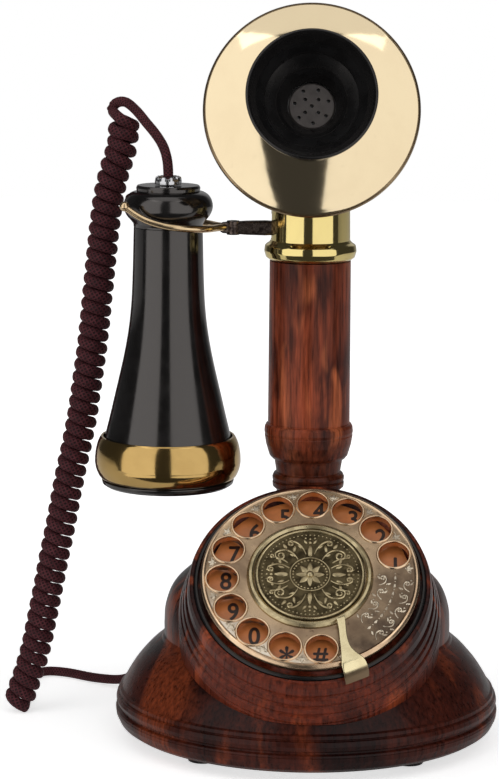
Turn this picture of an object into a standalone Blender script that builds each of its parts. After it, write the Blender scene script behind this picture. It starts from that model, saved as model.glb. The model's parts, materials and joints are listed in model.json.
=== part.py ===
"""Candlestick dial telephone: turned wood base and column, tilted dial, and a receiver on a fork.

Metres, +Z up.  The front of the telephone faces -Y and its receiver hangs on the -X side.
The column's axis is the design's own centre line; the assembly as a whole is shifted so that
the world origin lies under the middle of the object, on the surface that it stands on.
Lengths are written in millimetres and turned into metres by the helpers.
"""
from math import cos, pi, radians, sin

import bmesh
import bpy
from mathutils import Matrix, Vector

MM = 0.001

# Driving dimensions, in millimetres and degrees.
SHIFT_X = 4.75              # column axis from the world origin
SHIFT_Y = 4.4
GAP = 0.3                   # clearance between pieces that touch

BASE_R = 85.5
BASE_BOTTOM = 3.6
SEAT_Z = 88.0               # where the column stands on the dome
FOOT_X, FOOT_Y, FOOT_R = 44.8, 49.8, 7.0

ROD_R = 4.9
COLUMN_TOP = 213.6
COLLAR_R = 17.5
COLLAR_TOP = 236.0

DIAL_TILT = 42.0            # dial plane from the horizontal
DIAL_Y, DIAL_Z = -58.5, 84.7
DIAL_X = 1.2
WHEEL_R = 46.6
HOLE_COUNT = 12
HOLE_CIRCLE_R = 37.6
HOLE_R = 6.75
FIRST_HOLE = 17.6           # angle of hole "1", anticlockwise from +X
HOLE_PITCH = 23.65
STOP_ANGLE = -65.0
PLATE_Z = -5.4              # number plate below the wheel's face
FRAME_R = 24.6
GEAR_TEETH, PINION_TEETH = 30, 10
GEAR_MODULE = 0.8
GEAR_Z = -25.0
GOVERNOR_ANGLE = 90.0

FACE_TILT = 14.5            # faceplate axis above the horizontal
FACE_Y, FACE_Z = -20.0, 280.8
FACE_R = 46.5
MOUTH_R = 27.9
MOUTH_LENGTH = 35.0
TILT_Y, TILT_Z = 9.0, 246.5

RECEIVER_X = -62.6
HOOK_X, HOOK_Z = -4.0, 227.4
PRONG_R = 1.6
PRONG_Y = 18.9

CORD_R = 2.2
COIL_R = 7.4
CORD_ANGLE = 143.0          # where the cord enters the base, anticlockwise from +X
CORD_Z = 11.0

COIL_ROUTE = [              # the curly cord's centre line, top to bottom
    (-81.9, 25, 269.8), (-84.6, 25, 261.0), (-88.6, 25, 247.5), (-91.3, 25, 234.3),
    (-93.6, 25, 214.8), (-95.6, 25, 195.5), (-97.9, 25, 173.2), (-100.5, 25, 154.5),
    (-103.0, 25, 137.6), (-106.0, 25, 122.5), (-108.9, 25, 109.2), (-112.9, 25, 87.8),
    (-116.0, 25, 72.8), (-118.8, 25, 58.2), (-121.7, 25, 43.8), (-124.6, 25, 30.0),
    (-127.8, 25, 18.9), (-131.6, 25, 8.0), (-133.4, 25, 3.6),
]
UPPER_ROUTE = [             # out of the receiver's top and over to the coil's first turn
    (-62.6, 0, 240.0), (-62.6, 0.2, 249.0), (-64.0, 1.6, 257.5), (-68.0, 5.2, 266.0),
    (-73.6, 10.6, 272.4), (-80.0, 17.0, 276.6), (-86.0, 22.4, 278.4), (-87.2, 26.2, 275.2),
    (-84.2, 26.9, 273.2),
]
LOWER_ROUTE = [             # from the coil's foot, over the surface, into the base
    (-131.9, 33.2, 4.4), (-133.4, 45, 2.7), (-134.0, 60, 2.4), (-132.2, 76, 2.4),
    (-126.0, 86.0, 2.4), (-115.5, 84.4, 2.4), (-101.5, 75.2, 2.5), (-88.6, 65.9, 4.3),
    (-78.8, 59.0, 8.8), (-70.9, 53.4, 10.9), (-63.9, 48.1, 11.0), (-55.9, 42.1, 11.0),
]

# Profiles are (radius, height) pairs; an outer side runs from its top to its bottom.
BASE_OUTER = [
    (22.5, SEAT_Z), (34.5, 84.6), (45.0, 79.2), (54.6, 72.9), (60.2, 67.4), (63.6, 60.5),
    (64.0, 46.0), (66.5, 41.8), (71.2, 38.6), (77.0, 32.0), (82.6, 22.6), (85.2, 18.2),
    (BASE_R, 9.0), (83.0, BASE_BOTTOM),
]
BASE_INNER = [
    (74.6, BASE_BOTTOM), (74.6, 6.5), (64.0, 6.5), (59.0, 24.0), (56.0, 56.0), (48.0, 66.5),
    (36.0, 73.5), (5.3, 78.6), (5.3, SEAT_Z),
]
COLUMN_PROFILE = [
    (5.3, COLUMN_TOP), (17.9, COLUMN_TOP), (18.1, 150.0), (18.2, 140.8), (19.6, 138.0),
    (19.4, 134.4), (17.3, 126.3), (15.1, 124.4), (14.2, 118.8), (15.8, 116.2), (15.8, 113.2),
    (13.9, 110.8), (13.8, 107.0), (14.8, 100.0), (17.6, 94.0), (21.8, 89.6), (21.8, SEAT_Z + GAP),
    (5.3, SEAT_Z + GAP),
]
HOUSING_PROFILE = [
    (44.3, -6.6), (51.6, -6.6), (52.8, -8.0), (53.0, -13.8), (52.5, -14.6), (54.2, -18.6),
    (55.4, -23.0), (56.8, -27.0), (57.0, -52.0), (44.3, -52.0),
]
BASE_STEPS, DIAL_STEPS, HEAD_STEPS, RECEIVER_STEPS, COLUMN_STEPS = 28, 32, 28, 24, 24


# ---------------------------------------------------------------- helpers

def new_collection(name):
    collection = bpy.data.collections.new(name)
    bpy.context.scene.collection.children.link(collection)
    return collection


def new_empty(name, parent, location=(0, 0, 0), tilt=0.0):
    # An empty that pieces hang from; tilt turns it about X.
    empty = bpy.data.objects.new(name, None)
    PARTS.objects.link(empty)
    empty.parent = parent
    empty.location = Vector(location) * MM
    empty.rotation_euler.x = radians(tilt)
    return empty


def paint(obj, colour, roughness, metallic=0.0):
    material = bpy.data.materials.new(obj.name)
    material.use_nodes = True
    shader = material.node_tree.nodes["Principled BSDF"]
    shader.inputs["Base Color"].default_value = (*colour, 1.0)
    shader.inputs["Roughness"].default_value = roughness
    shader.inputs["Metallic"].default_value = metallic
    obj.data.materials.clear()
    obj.data.materials.append(material)


WOOD = ((0.13, 0.030, 0.014), 0.28)
BRASS = ((0.72, 0.52, 0.22), 0.18, 1.0)
PALE_BRASS = ((0.80, 0.66, 0.40), 0.16, 1.0)
BRONZE = ((0.42, 0.30, 0.17), 0.32, 1.0)
BLACK = ((0.012, 0.011, 0.010), 0.12)
RUBBER = ((0.02, 0.02, 0.02), 0.6)
STEEL = ((0.55, 0.55, 0.56), 0.30, 1.0)
AMBER = ((0.42, 0.14, 0.03), 0.35)
MAROON = ((0.075, 0.012, 0.016), 0.8)
BOARD = ((0.03, 0.16, 0.07), 0.45)
GREY = ((0.20, 0.20, 0.20), 0.5)


def add(name, data, parent, look, location=(0, 0, 0), rotation=(0, 0, 0)):
    obj = bpy.data.objects.new(name, data)
    PARTS.objects.link(obj)
    obj.parent = parent
    obj.location = Vector(location) * MM
    obj.rotation_euler = [radians(a) for a in rotation]
    paint(obj, *look)
    return obj


def outline_mesh(name, profile, closed):
    # The profile as a chain of edges in the XZ plane.
    mesh = bpy.data.meshes.new(name)
    points = [(r * MM, 0.0, z * MM) for r, z in profile]
    edges = [(i, i + 1) for i in range(len(points) - 1)]
    if closed:
        edges.append((len(points) - 1, 0))
    mesh.from_pydata(points, edges, [])
    return mesh


def turn(obj, steps):
    screw = obj.modifiers.new("Turn", "SCREW")
    screw.steps = steps
    screw.render_steps = steps
    screw.use_merge_vertices = True
    screw.merge_threshold = 0.00001
    screw.use_smooth_shade = True


def turned(name, profile, parent, look, steps=32, ring=False, location=(0, 0, 0),
           rotation=(0, 0, 0)):
    # A lathe piece: a solid whose profile ends on its axis, or a ring with a closed profile.
    obj = add(name, outline_mesh(name, profile, ring), parent, look, location, rotation)
    turn(obj, steps)
    return obj


def disc_profile(radius, top, bottom):
    return [(0, top), (radius, top), (radius, bottom), (0, bottom)]


def ring_profile(inner, outer, top, bottom):
    return [(inner, top), (outer, top), (outer, bottom), (inner, bottom)]


def block_mesh(name, size):
    mesh = bpy.data.meshes.new(name)
    shape = bmesh.new()
    bmesh.ops.create_cube(shape, size=1.0)
    bmesh.ops.scale(shape, vec=Vector(size) * MM, verts=shape.verts)
    shape.to_mesh(mesh)
    shape.free()
    return mesh


def block(name, size, parent, look, location=(0, 0, 0), rotation=(0, 0, 0)):
    return add(name, block_mesh(name, size), parent, look, location, rotation)


def rods_mesh(name, rods, sides):
    # Cylinders along Z, each (x, y, radius, top, bottom), as one mesh for cutting.
    mesh = bpy.data.meshes.new(name)
    shape = bmesh.new()
    for x, y, radius, top, bottom in rods:
        place = Matrix.Translation(Vector((x, y, (top + bottom) / 2)) * MM)
        bmesh.ops.create_cone(
            shape, cap_ends=True, segments=sides, radius1=radius * MM, radius2=radius * MM,
            depth=(top - bottom) * MM, matrix=place)
    shape.to_mesh(mesh)
    shape.free()
    return mesh


def make_cutter(name, mesh, parent, location=(0, 0, 0), rotation=(0, 0, 0)):
    cutter = bpy.data.objects.new(name, mesh)
    CUTTERS.objects.link(cutter)
    cutter.parent = parent
    cutter.location = Vector(location) * MM
    cutter.rotation_euler = [radians(a) for a in rotation]
    cutter.hide_render = True
    cutter.display_type = "WIRE"
    return cutter


def turned_cutter(name, profile, parent, steps=32):
    cutter = make_cutter(name, outline_mesh(name, profile, False), parent)
    turn(cutter, steps)
    return cutter


def cut(obj, cutter, operation="DIFFERENCE"):
    boolean = obj.modifiers.new(operation.title(), "BOOLEAN")
    boolean.operation = operation
    boolean.object = cutter


def smooth_route(points, step):
    # A Catmull-Rom curve through the points, read at about every step millimetres.
    points = [Vector(p) for p in points]
    padded = [points[0] * 2 - points[1]] + points + [points[-1] * 2 - points[-2]]
    route = [points[0]]
    for a, b, c, d in zip(padded, padded[1:], padded[2:], padded[3:]):
        count = max(1, round((c - b).length / step))
        for i in range(1, count + 1):
            t = i / count
            route.append(0.5 * (2 * b + (c - a) * t + (2 * a - 5 * b + 4 * c - d) * t ** 2
                                + (3 * b - a - 3 * c + d) * t ** 3))
    return route


def rod_curve(name, route, radius, parent, look, resolution=2):
    # A round rod or cord with flat ends along a route.
    curve = bpy.data.curves.new(name, "CURVE")
    curve.dimensions = "3D"
    curve.bevel_depth = radius * MM
    curve.bevel_resolution = resolution
    curve.use_fill_caps = True
    spline = curve.splines.new("POLY")
    spline.points.add(len(route) - 1)
    for point, place in zip(spline.points, route):
        point.co = (*(Vector(place) * MM), 1.0)
    return add(name, curve, parent, look)


def flat_curve(name, outline, thickness, parent, look, location=(0, 0, 0), rotation=(0, 0, 0)):
    # A flat outline in its XY plane with half its thickness on each side.
    curve = bpy.data.curves.new(name, "CURVE")
    curve.dimensions = "2D"
    curve.fill_mode = "BOTH"
    curve.extrude = thickness / 2 * MM
    spline = curve.splines.new("POLY")
    spline.points.add(len(outline) - 1)
    for point, (x, y) in zip(spline.points, outline):
        point.co = (x * MM, y * MM, 0.0, 1.0)
    spline.use_cyclic_u = True
    return add(name, curve, parent, look, location, rotation)


def curve_to_mesh(obj, look):
    # The curve's evaluated shape as a mesh object, so that it can be cut or joined.
    bpy.context.view_layer.update()
    graph = bpy.context.evaluated_depsgraph_get()
    mesh = bpy.data.meshes.new_from_object(obj.evaluated_get(graph))
    shape = bmesh.new()
    shape.from_mesh(mesh)
    bmesh.ops.remove_doubles(shape, verts=shape.verts, dist=0.000001)
    shape.to_mesh(mesh)
    shape.free()
    name, parent, place = obj.name, obj.parent, obj.matrix_world.copy()
    bpy.data.objects.remove(obj)
    made = bpy.data.objects.new(name, mesh)
    PARTS.objects.link(made)
    made.parent = parent
    made.matrix_world = place
    paint(made, *look)
    return made


def around(count, radius, start=0.0):
    # Points evenly spaced on a circle, in its plane.
    angles = [radians(start) + 2 * pi * i / count for i in range(count)]
    return [(radius * cos(a), radius * sin(a)) for a in angles]


# ---------------------------------------------------------------- base

def base_shell(frame, dial):
    shell = turned("base_shell", BASE_OUTER + BASE_INNER, frame, WOOD, BASE_STEPS, True)
    opening = rods_mesh("dial_opening", [(0, 0, 27.0, 0, -44)], 32)
    cut(shell, make_cutter("dial_opening", opening, dial))
    holes = [(x * FOOT_X, y * FOOT_Y, 1.9, 16.5, 0) for x in (-1, 1) for y in (-1, 1)]
    cut(shell, make_cutter("screw_holes", rods_mesh("screw_holes", holes, 8), frame))
    cut(shell, make_cutter("jack_hole", block_mesh("jack_hole", (15.0, 40.0, 11.0)), frame,
                           (0, 80.0, 12.0)))
    bush_hole = rods_mesh("bush_hole", [(0, 0, 3.7, 95.0, 50.0)], 12)
    cut(shell, make_cutter("bush_hole", bush_hole, frame, (0, 0, CORD_Z), (0, 90, CORD_ANGLE)))


def bottom_plate(frame):
    plate = turned("bottom_plate", disc_profile(74.2, 6.2, 4.4), frame, GREY, BASE_STEPS)
    holes = [(x * FOOT_X, y * FOOT_Y, 1.9, 9, 2) for x in (-1, 1) for y in (-1, 1)]
    cut(plate, make_cutter("plate_holes", rods_mesh("plate_holes", holes, 8), frame))


def feet(frame):
    foot = [(1.9, 4.1), (FOOT_R, 4.1), (FOOT_R, 1.0), (6.2, 0), (4.1, 0), (4.1, 2.4), (1.9, 2.4)]
    screw = [(0, 15.5), (1.5, 14.6), (1.5, 2.1), (3.5, 2.1), (3.5, 0.6), (0, 0.6)]
    for side, x in (("left", -FOOT_X), ("right", FOOT_X)):
        for end, y in (("front", -FOOT_Y), ("rear", FOOT_Y)):
            turned(f"foot_{end}_{side}", foot, frame, RUBBER, 12, True, (x, y, 0))
            turned(f"foot_screw_{end}_{side}", screw, frame, STEEL, 8, False, (x, y, 0))


def column(frame):
    turned("column", COLUMN_PROFILE, frame, WOOD, COLUMN_STEPS, True)
    turned("column_rod", ring_profile(3.2, ROD_R, 221.0, 70.5), frame, STEEL, 16, True)
    for name, low in (("rod_nut_upper", COLUMN_TOP + GAP), ("rod_nut_lower", 71.4)):
        turned(name, ring_profile(ROD_R + GAP, 9.0, low + 5.4, low), frame, BRASS, 12, True)


def line_jack(frame):
    jack = block("line_jack", (14.2, 15.0, 10.2), frame, BLACK, (0, 79.0, 12.0))
    socket = block_mesh("jack_socket", (11.0, 16.0, 7.2))
    cut(jack, make_cutter("jack_socket", socket, frame, (0, 82.4, 12.0)))


def cord_bush(frame):
    bush = [(2.65, 89.0), (3.8, 89.0), (5.0, 87.6), (5.0, 86.2), (3.4, 86.2), (3.4, 80.0),
            (2.65, 80.0)]
    turned("cord_bush", bush, frame, RUBBER, 12, True, (0, 0, CORD_Z), (0, 90, CORD_ANGLE))


def base_contents(frame):
    block("circuit_board", (56.0, 34.0, 1.6), frame, BOARD, (0, 28.0, 14.0))
    for side in (-1, 1):
        name = "board_post_left" if side < 0 else "board_post_right"
        turned(name, disc_profile(2.5, 12.9, 6.5), frame, BRASS, 10, False, (side * 24.0, 28.0, 0))
    turned("ringer_buzzer", disc_profile(14.0, 24.0, 15.1), frame, BLACK, 20, False, (0, 28.0, 0))
    block("ballast_weight", (60.0, 24.0, 12.0), frame, STEEL, (0, -26.0, 12.5))


# ---------------------------------------------------------------- dial

def dial_housing(frame, dial):
    housing = turned("dial_housing", HOUSING_PROFILE, dial, WOOD, DIAL_STEPS, True)
    dome = [(0, SEAT_Z + GAP)] + [(r + GAP, z + GAP) for r, z in BASE_OUTER] + [(0, 3.0)]
    cut(housing, turned_cutter("dome_space", dome, frame, BASE_STEPS))
    clear = [(0, 125), (16.5, 125), (16.5, 111), (14.8, 110), (14.8, 104), (18.8, 94),
             (22.8, 90.5), (22.8, 80), (0, 80)]
    cut(housing, turned_cutter("column_space", clear, frame, COLUMN_STEPS))


def dial_fixed(dial):
    gasket = [(48.2, -4.0), (50.4, -3.6), (51.3, -4.8), (51.2, -6.2), (48.2, -6.2)]
    turned("dial_gasket", gasket, dial, RUBBER, DIAL_STEPS, True)
    turned("number_plate", ring_profile(3.8, 43.9, PLATE_Z, PLATE_Z - 1.2), dial, AMBER, DIAL_STEPS, True)
    pan = [(23.2, -7.0), (43.9, -7.0), (43.9, -8.4), (FRAME_R, -8.6), (FRAME_R, -33.0),
           (3.4, -33.0), (3.4, -31.6), (23.2, -31.6)]
    turned("dial_frame", pan, dial, STEEL, 24, True)


def finger_stop(dial):
    # Stations along the strap: distance from the dial's centre, height, and half width.
    stations = [(27.0, 2.9, 1.5), (33.0, 2.9, 2.2), (39.0, 2.8, 3.1), (44.5, 2.7, 4.4),
                (48.2, 2.3, 5.4), (51.0, 0.4, 5.6), (52.2, -2.4, 5.6), (52.3, -5.7, 5.5)]
    mesh = bpy.data.meshes.new("finger_stop")
    points = [(r * MM, side * half * MM, z * MM) for r, z, half in stations for side in (-1, 1)]
    faces = [(2 * i, 2 * i + 1, 2 * i + 3, 2 * i + 2) for i in range(len(stations) - 1)]
    mesh.from_pydata(points, [], faces)
    stop = add("finger_stop", mesh, dial, PALE_BRASS, rotation=(0, 0, STOP_ANGLE))
    wall = stop.modifiers.new("Thickness", "SOLIDIFY")
    wall.thickness = 0.9 * MM
    wall.offset = 0.0


def finger_wheel(dial):
    profile = [(3.3, 0), (45.6, 0), (WHEEL_R, -1.2), (46.2, -3.3), (44.8, -3.3), (44.6, -2.2),
               (3.3, -2.2)]
    wheel = turned("finger_wheel", profile, dial, BRONZE, 36, True)
    angles = [radians(FIRST_HOLE + HOLE_PITCH * i) for i in range(HOLE_COUNT)]
    holes = [(HOLE_CIRCLE_R * cos(a), HOLE_CIRCLE_R * sin(a), HOLE_R, 3, -5) for a in angles]
    cut(wheel, make_cutter("finger_holes", rods_mesh("finger_holes", holes, 12), dial))
    ring = [(24.1, 1.2), (25.2, 1.9), (26.4, 1.4), (26.8, GAP), (24.1, GAP)]
    turned("medallion_ring", ring, dial, PALE_BRASS, DIAL_STEPS, True)
    turned("medallion", disc_profile(23.7, 1.3, 0.4), dial, BRONZE, DIAL_STEPS)
    shaft = [(0, 0.1), (3.0, 0.1), (3.0, -2.5), (6.0, -2.5), (6.0, -4.6), (3.0, -4.6), (3.0, -34.0),
             (0, -34.0)]
    turned("dial_shaft", shaft, dial, STEEL, 16)


def gear_outline(teeth, module, tip, root, width):
    # Straight-sided teeth; width is the share of the pitch that a tooth takes at its tip.
    pitch_r = teeth * module / 2
    outline = []
    for i in range(teeth):
        middle = 2 * pi * i / teeth
        for radius, share in ((pitch_r - root, -0.30), (pitch_r + tip, -width / 2),
                              (pitch_r + tip, width / 2), (pitch_r - root, 0.30)):
            angle = middle + 2 * pi * share / teeth
            outline.append((radius * cos(angle), radius * sin(angle)))
    return outline


def gear(name, teeth, parent, bore, location, turn_by):
    outline = gear_outline(teeth, GEAR_MODULE, 0.45, 0.75, 0.16)
    flat = flat_curve(name, outline, 2.4, parent, BRASS, location, (0, 0, turn_by))
    solid = curve_to_mesh(flat, BRASS)
    hole = rods_mesh(name + "_bore", [(0, 0, bore, 4, -4)], 16)
    cut(solid, make_cutter(name + "_bore", hole, parent, location))


def dial_works(dial):
    gear("dial_gear", GEAR_TEETH, dial, 3.0 + GAP, (0, 0, GEAR_Z), GOVERNOR_ANGLE)
    turns, points = 3.0, 40
    coil = []
    for i in range(points + 1):
        angle = 2 * pi * turns * i / points
        radius = 4.4 + 4.6 * i / points
        coil.append((radius * cos(angle), radius * sin(angle), -14.0))
    rod_curve("dial_spring", coil, 0.35, dial, STEEL, 0)


def governor(dial):
    distance = (GEAR_TEETH + PINION_TEETH) * GEAR_MODULE / 2
    angle = radians(GOVERNOR_ANGLE)
    place = (distance * cos(angle), distance * sin(angle), 0)
    half_pitch = 180.0 / PINION_TEETH
    gear("governor_pinion", PINION_TEETH, dial, 1.1 + GAP, (place[0], place[1], GEAR_Z),
         GOVERNOR_ANGLE + 180 + half_pitch)
    spindle = [(0, -10.5), (1.1, -10.5), (1.1, -13.0), (5.2, -13.0), (5.2, -15.4), (1.1, -15.4),
               (1.1, -31.2), (0, -31.2)]
    turned("governor_spindle", spindle, dial, STEEL, 16, False, place)


# ---------------------------------------------------------------- collar, hook and switch

def collar(frame):
    low = COLUMN_TOP + GAP
    profile = [(15.5, COLLAR_TOP), (COLLAR_R, COLLAR_TOP), (COLLAR_R, 221.4), (19.6, 220.2),
               (20.25, 217.5), (19.6, 215.0), (18.0, low), (15.5, low)]
    shell = turned("collar", profile, frame, BRASS, COLUMN_STEPS, True)
    slot = block_mesh("lever_slot", (12.0, 6.0, 9.2))
    cut(shell, make_cutter("lever_slot", slot, frame, (-17.5, 0, 228.8)))
    pin_holes = rods_mesh("pin_holes", [(0, 0, 1.6, 20, -20)], 12)
    cut(shell, make_cutter("pin_holes", pin_holes, frame, (HOOK_X, 0, HOOK_Z), (90, 0, 0)))
    turned("hook_pin", disc_profile(1.3, 16.4, -16.4), frame, STEEL, 12, False,
           (HOOK_X, 0, HOOK_Z), (90, 0, 0))


def tilt_lug(frame):
    cap = [(0, 238.6), (13.0, 238.3), (16.6, 237.6), (17.4, 236.3), (0, 236.3)]
    lug = turned("tilt_lug", cap, frame, BRASS, COLUMN_STEPS)
    ear = [(-4.6, -9.4), (4.6, -9.4)] + [
        (4.6 * cos(radians(a)), 4.6 * sin(radians(a))) for a in range(0, 181, 30)]
    flat = flat_curve("tilt_ear", ear, 6.0, frame, BRASS, (0, TILT_Y, TILT_Z), (90, 0, 90))
    solid = curve_to_mesh(flat, BRASS)
    PARTS.objects.unlink(solid)
    CUTTERS.objects.link(solid)
    solid.hide_render = True
    solid.display_type = "WIRE"
    cut(lug, solid, "UNION")
    hole = rods_mesh("tilt_hole", [(0, 0, 1.9, 12, -12)], 12)
    cut(lug, make_cutter("tilt_hole", hole, frame, (0, TILT_Y, TILT_Z), (0, 90, 0)))


def hook_switch(frame):
    body = block("hook_switch", (13.0, 11.0, 4.4), frame, BLACK, (7.5, 0, 233.8))
    bore = rods_mesh("plunger_bore", [(0, 0, 1.6, 235.2, 230.0)], 12)
    cut(body, make_cutter("plunger_bore", bore, frame, (6.0, 0, 0)))
    turned("switch_plunger", disc_profile(1.2, 234.6, 230.7), frame, GREY, 12, False, (6.0, 0, 0))


def hook_lever(hook):
    # Local origin on the pin; the fork's prongs pass in front of and behind the receiver.
    arm = block("hook_lever", (47.0, 4.6, 5.6), hook, BRONZE, (-11.3, 0, 0.1))
    bevel = arm.modifiers.new("Edges", "BEVEL")
    bevel.width = 1.2 * MM
    bevel.segments = 2
    reach = RECEIVER_X - HOOK_X
    for side in (-1, 1):
        route = [(-34.0, 0, 0.4), (-37.0, 5.0 * side, 0.4), (-40.6, 11.0 * side, 0.5),
                 (-45.6, 15.6 * side, 0.8), (-52.0, 18.2 * side, 1.4),
                 (reach, PRONG_Y * side, 2.3), (reach - 7.0, PRONG_Y * side, 4.2),
                 (reach - 12.4, PRONG_Y * side, 6.8), (reach - 17.6, PRONG_Y * side, 10.4)]
        name = "prong_front" if side < 0 else "prong_rear"
        rod = rod_curve(name, smooth_route(route, 5.0), PRONG_R, hook, BRONZE, 1)
        prong = curve_to_mesh(rod, BRONZE)
        PARTS.objects.unlink(prong)
        CUTTERS.objects.link(prong)
        prong.hide_render = True
        prong.display_type = "WIRE"
        cut(arm, prong, "UNION")
        ball = bpy.data.meshes.new(name + "_ball")
        shape = bmesh.new()
        bmesh.ops.create_uvsphere(shape, u_segments=10, v_segments=6, radius=2.1 * MM)
        shape.to_mesh(ball)
        shape.free()
        tip = make_cutter(name + "_ball", ball, hook, (reach - 18.0, PRONG_Y * side, 10.8))
        cut(arm, tip, "UNION")
    bore = rods_mesh("lever_bore", [(0, 0, 1.65, 6, -6)], 12)
    cut(arm, make_cutter("lever_bore", bore, hook, (0, 0, 0), (90, 0, 0)))


# ---------------------------------------------------------------- receiver

def receiver(holder):
    shell = [(12.6, 227.4), (15.3, 227.4), (15.6, 210.0), (16.2, 193.4), (17.6, 182.0),
             (20.0, 170.6), (24.9, 147.7), (28.2, 133.0), (28.4, 121.0), (25.8, 121.0),
             (25.8, 131.0), (17.4, 168.0), (13.4, 190.0)]
    turned("receiver_shell", shell, holder, BLACK, RECEIVER_STEPS, True)
    cap = [(2.7, 246.0), (14.0, 245.8), (14.0, 243.2), (18.2, 240.4), (19.55, 237.6),
           (19.3, 235.0), (17.1, 231.3), (15.4, 227.7), (12.2, 227.7), (12.2, 223.0), (2.7, 223.0)]
    turned("receiver_cap", cap, holder, BLACK, RECEIVER_STEPS, True)
    band = [(28.8, 134.3), (29.9, 134.2), (31.9, 130.0), (32.4, 123.6), (31.4, 117.6),
            (29.6, 115.7), (28.8, 115.7)]
    turned("receiver_band", band, holder, BRASS, RECEIVER_STEPS, True)
    ear = [(3.0, 117.8), (24.4, 117.8), (24.4, 120.7), (28.4, 120.7), (28.4, 115.5), (29.3, 115.2),
           (28.0, 112.6), (21.5, 112.2), (13.0, 114.6), (3.0, 115.6)]
    turned("earpiece_cap", ear, holder, BLACK, RECEIVER_STEPS, True)
    turned("speaker_capsule", disc_profile(23.4, 125.0, 118.2), holder, STEEL, RECEIVER_STEPS)
    ring = [(2.7, 250.0), (4.6, 250.0), (5.7, 248.8), (5.7, 246.4), (2.7, 246.4)]
    turned("terminal_ring", ring, holder, STEEL, 16, True)


# ---------------------------------------------------------------- head

def head(head_axis, face):
    plate = [(13.2, 8.7), (27.0, 7.1), (36.0, 4.6), (43.0, 1.7), (46.1, -0.2), (FACE_R, -1.4),
             (46.1, -2.5), (45.0, -2.2), (41.0, 0.9), (34.0, 3.6), (27.0, 5.4), (13.2, 7.1)]
    turned("faceplate", plate, face, PALE_BRASS, HEAD_STEPS, True)
    cup = [(34.0, 2.9), (36.0, 2.2), (36.4, -4.0), (34.6, -13.0), (27.0, -22.6), (3.4, -25.0),
           (3.4, -22.8), (26.0, -20.4), (33.0, -11.0), (34.0, -4.0)]
    turned("transmitter_cup", cup, face, BRASS, HEAD_STEPS, True)
    lip = MOUTH_LENGTH
    horn = [(10.4, 4.0), (10.4, 9.4), (14.6, 15.0), (20.8, 22.6), (25.8, 33.0), (26.8, lip),
            (MOUTH_R, lip - 0.4), (27.6, lip - 2.6), (25.6, 28.0), (18.6, 17.0), (15.4, 13.4),
            (15.4, 9.2), (12.9, 9.0), (12.9, 4.0)]
    turned("mouthpiece", horn, face, BLACK, HEAD_STEPS, True)
    grille = turned("mouth_grille", disc_profile(10.1, 7.4, 6.2), face, GREY, 20)
    dots = [(x, y, 0.75, 9, 5) for x, y in [(0, 0)] + around(4, 4.0, 45) + around(6, 7.4)]
    cut(grille, make_cutter("grille_holes", rods_mesh("grille_holes", dots, 5), face))
    turned("mic_capsule", disc_profile(12.0, 3.4, -9.0), face, STEEL, 20)
    bracket(head_axis)
    screw = [(0, 12.4), (2.6, 12.2), (3.6, 11.2), (3.6, 9.6), (1.5, 9.4), (1.5, -12.0), (0, -12.0)]
    turned("tilt_screw", screw, head_axis.parent, BRASS, 16, False, (0, TILT_Y, TILT_Z),
           (0, 90, 0))
    nut = ring_profile(1.5 + GAP, 3.8, 3.2, 0)
    turned("tilt_nut", nut, head_axis.parent, BRASS, 16, True, (-12.4, TILT_Y, TILT_Z),
           (0, 90, 0))


def bracket(head_axis):
    # The outline is in the YZ plane, measured from the tilt axis, and 15 mm wide along X.
    outline = [(-1.2, 39.0), (2.6, 38.0), (5.0, 20.0), (5.2, 0.0), (4.4, -3.0), (2.2, -4.8),
               (-0.2, -5.2), (-2.8, -4.5), (-4.7, -2.6), (-5.2, 0.0), (-5.2, 8.0), (-7.2, 15.6)]
    flat = flat_curve("tilt_bracket", outline, 15.0, head_axis, BRASS, (0, 0, 0), (90, 0, 90))
    solid = curve_to_mesh(flat, BRASS)
    slot = block_mesh("lug_slot", (6.7, 24.0, 20.0))
    cut(solid, make_cutter("lug_slot", slot, head_axis, (0, 0, -3.6)))
    hole = rods_mesh("bracket_hole", [(0, 0, 1.9, 12, -12)], 12)
    cut(solid, make_cutter("bracket_hole", hole, head_axis, (0, 0, 0), (0, 90, 0)))


# ---------------------------------------------------------------- cord

def cords(frame):
    coil = smooth_route(COIL_ROUTE, 14.0)
    rod_curve("cord_coil", coil, COIL_R, frame, MAROON, 3)
    rod_curve("cord_upper", smooth_route(UPPER_ROUTE, 5.0), CORD_R, frame, MAROON, 2)
    rod_curve("cord_lower", smooth_route(LOWER_ROUTE, 8.0), CORD_R, frame, MAROON, 2)


def build():
    frame = new_empty("column_axis", None, (SHIFT_X, SHIFT_Y, 0))
    dial = new_empty("dial_axis", frame, (DIAL_X, DIAL_Y, DIAL_Z), DIAL_TILT)
    base_shell(frame, dial)
    bottom_plate(frame)
    feet(frame)
    column(frame)
    line_jack(frame)
    cord_bush(frame)
    base_contents(frame)
    dial_housing(frame, dial)
    dial_fixed(dial)
    finger_stop(dial)
    finger_wheel(dial)
    dial_works(dial)
    governor(dial)
    collar(frame)
    tilt_lug(frame)
    hook_switch(frame)
    hook_lever(new_empty("hook_axis", frame, (HOOK_X, 0, HOOK_Z)))
    receiver(new_empty("receiver_axis", frame, (RECEIVER_X, 0, 0)))
    head_axis = new_empty("head_axis", frame, (0, TILT_Y, TILT_Z))
    face_place = (0, FACE_Y - TILT_Y, FACE_Z - TILT_Z)
    head(head_axis, new_empty("face_axis", head_axis, face_place, 90.0 - FACE_TILT))
    cords(frame)


for old in list(bpy.data.objects):
    bpy.data.objects.remove(old, do_unlink=True)
PARTS = new_collection("candlestick_telephone")
CUTTERS = new_collection("cutters")
build()
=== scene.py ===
import json
from math import cos, pi, radians, sin

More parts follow.
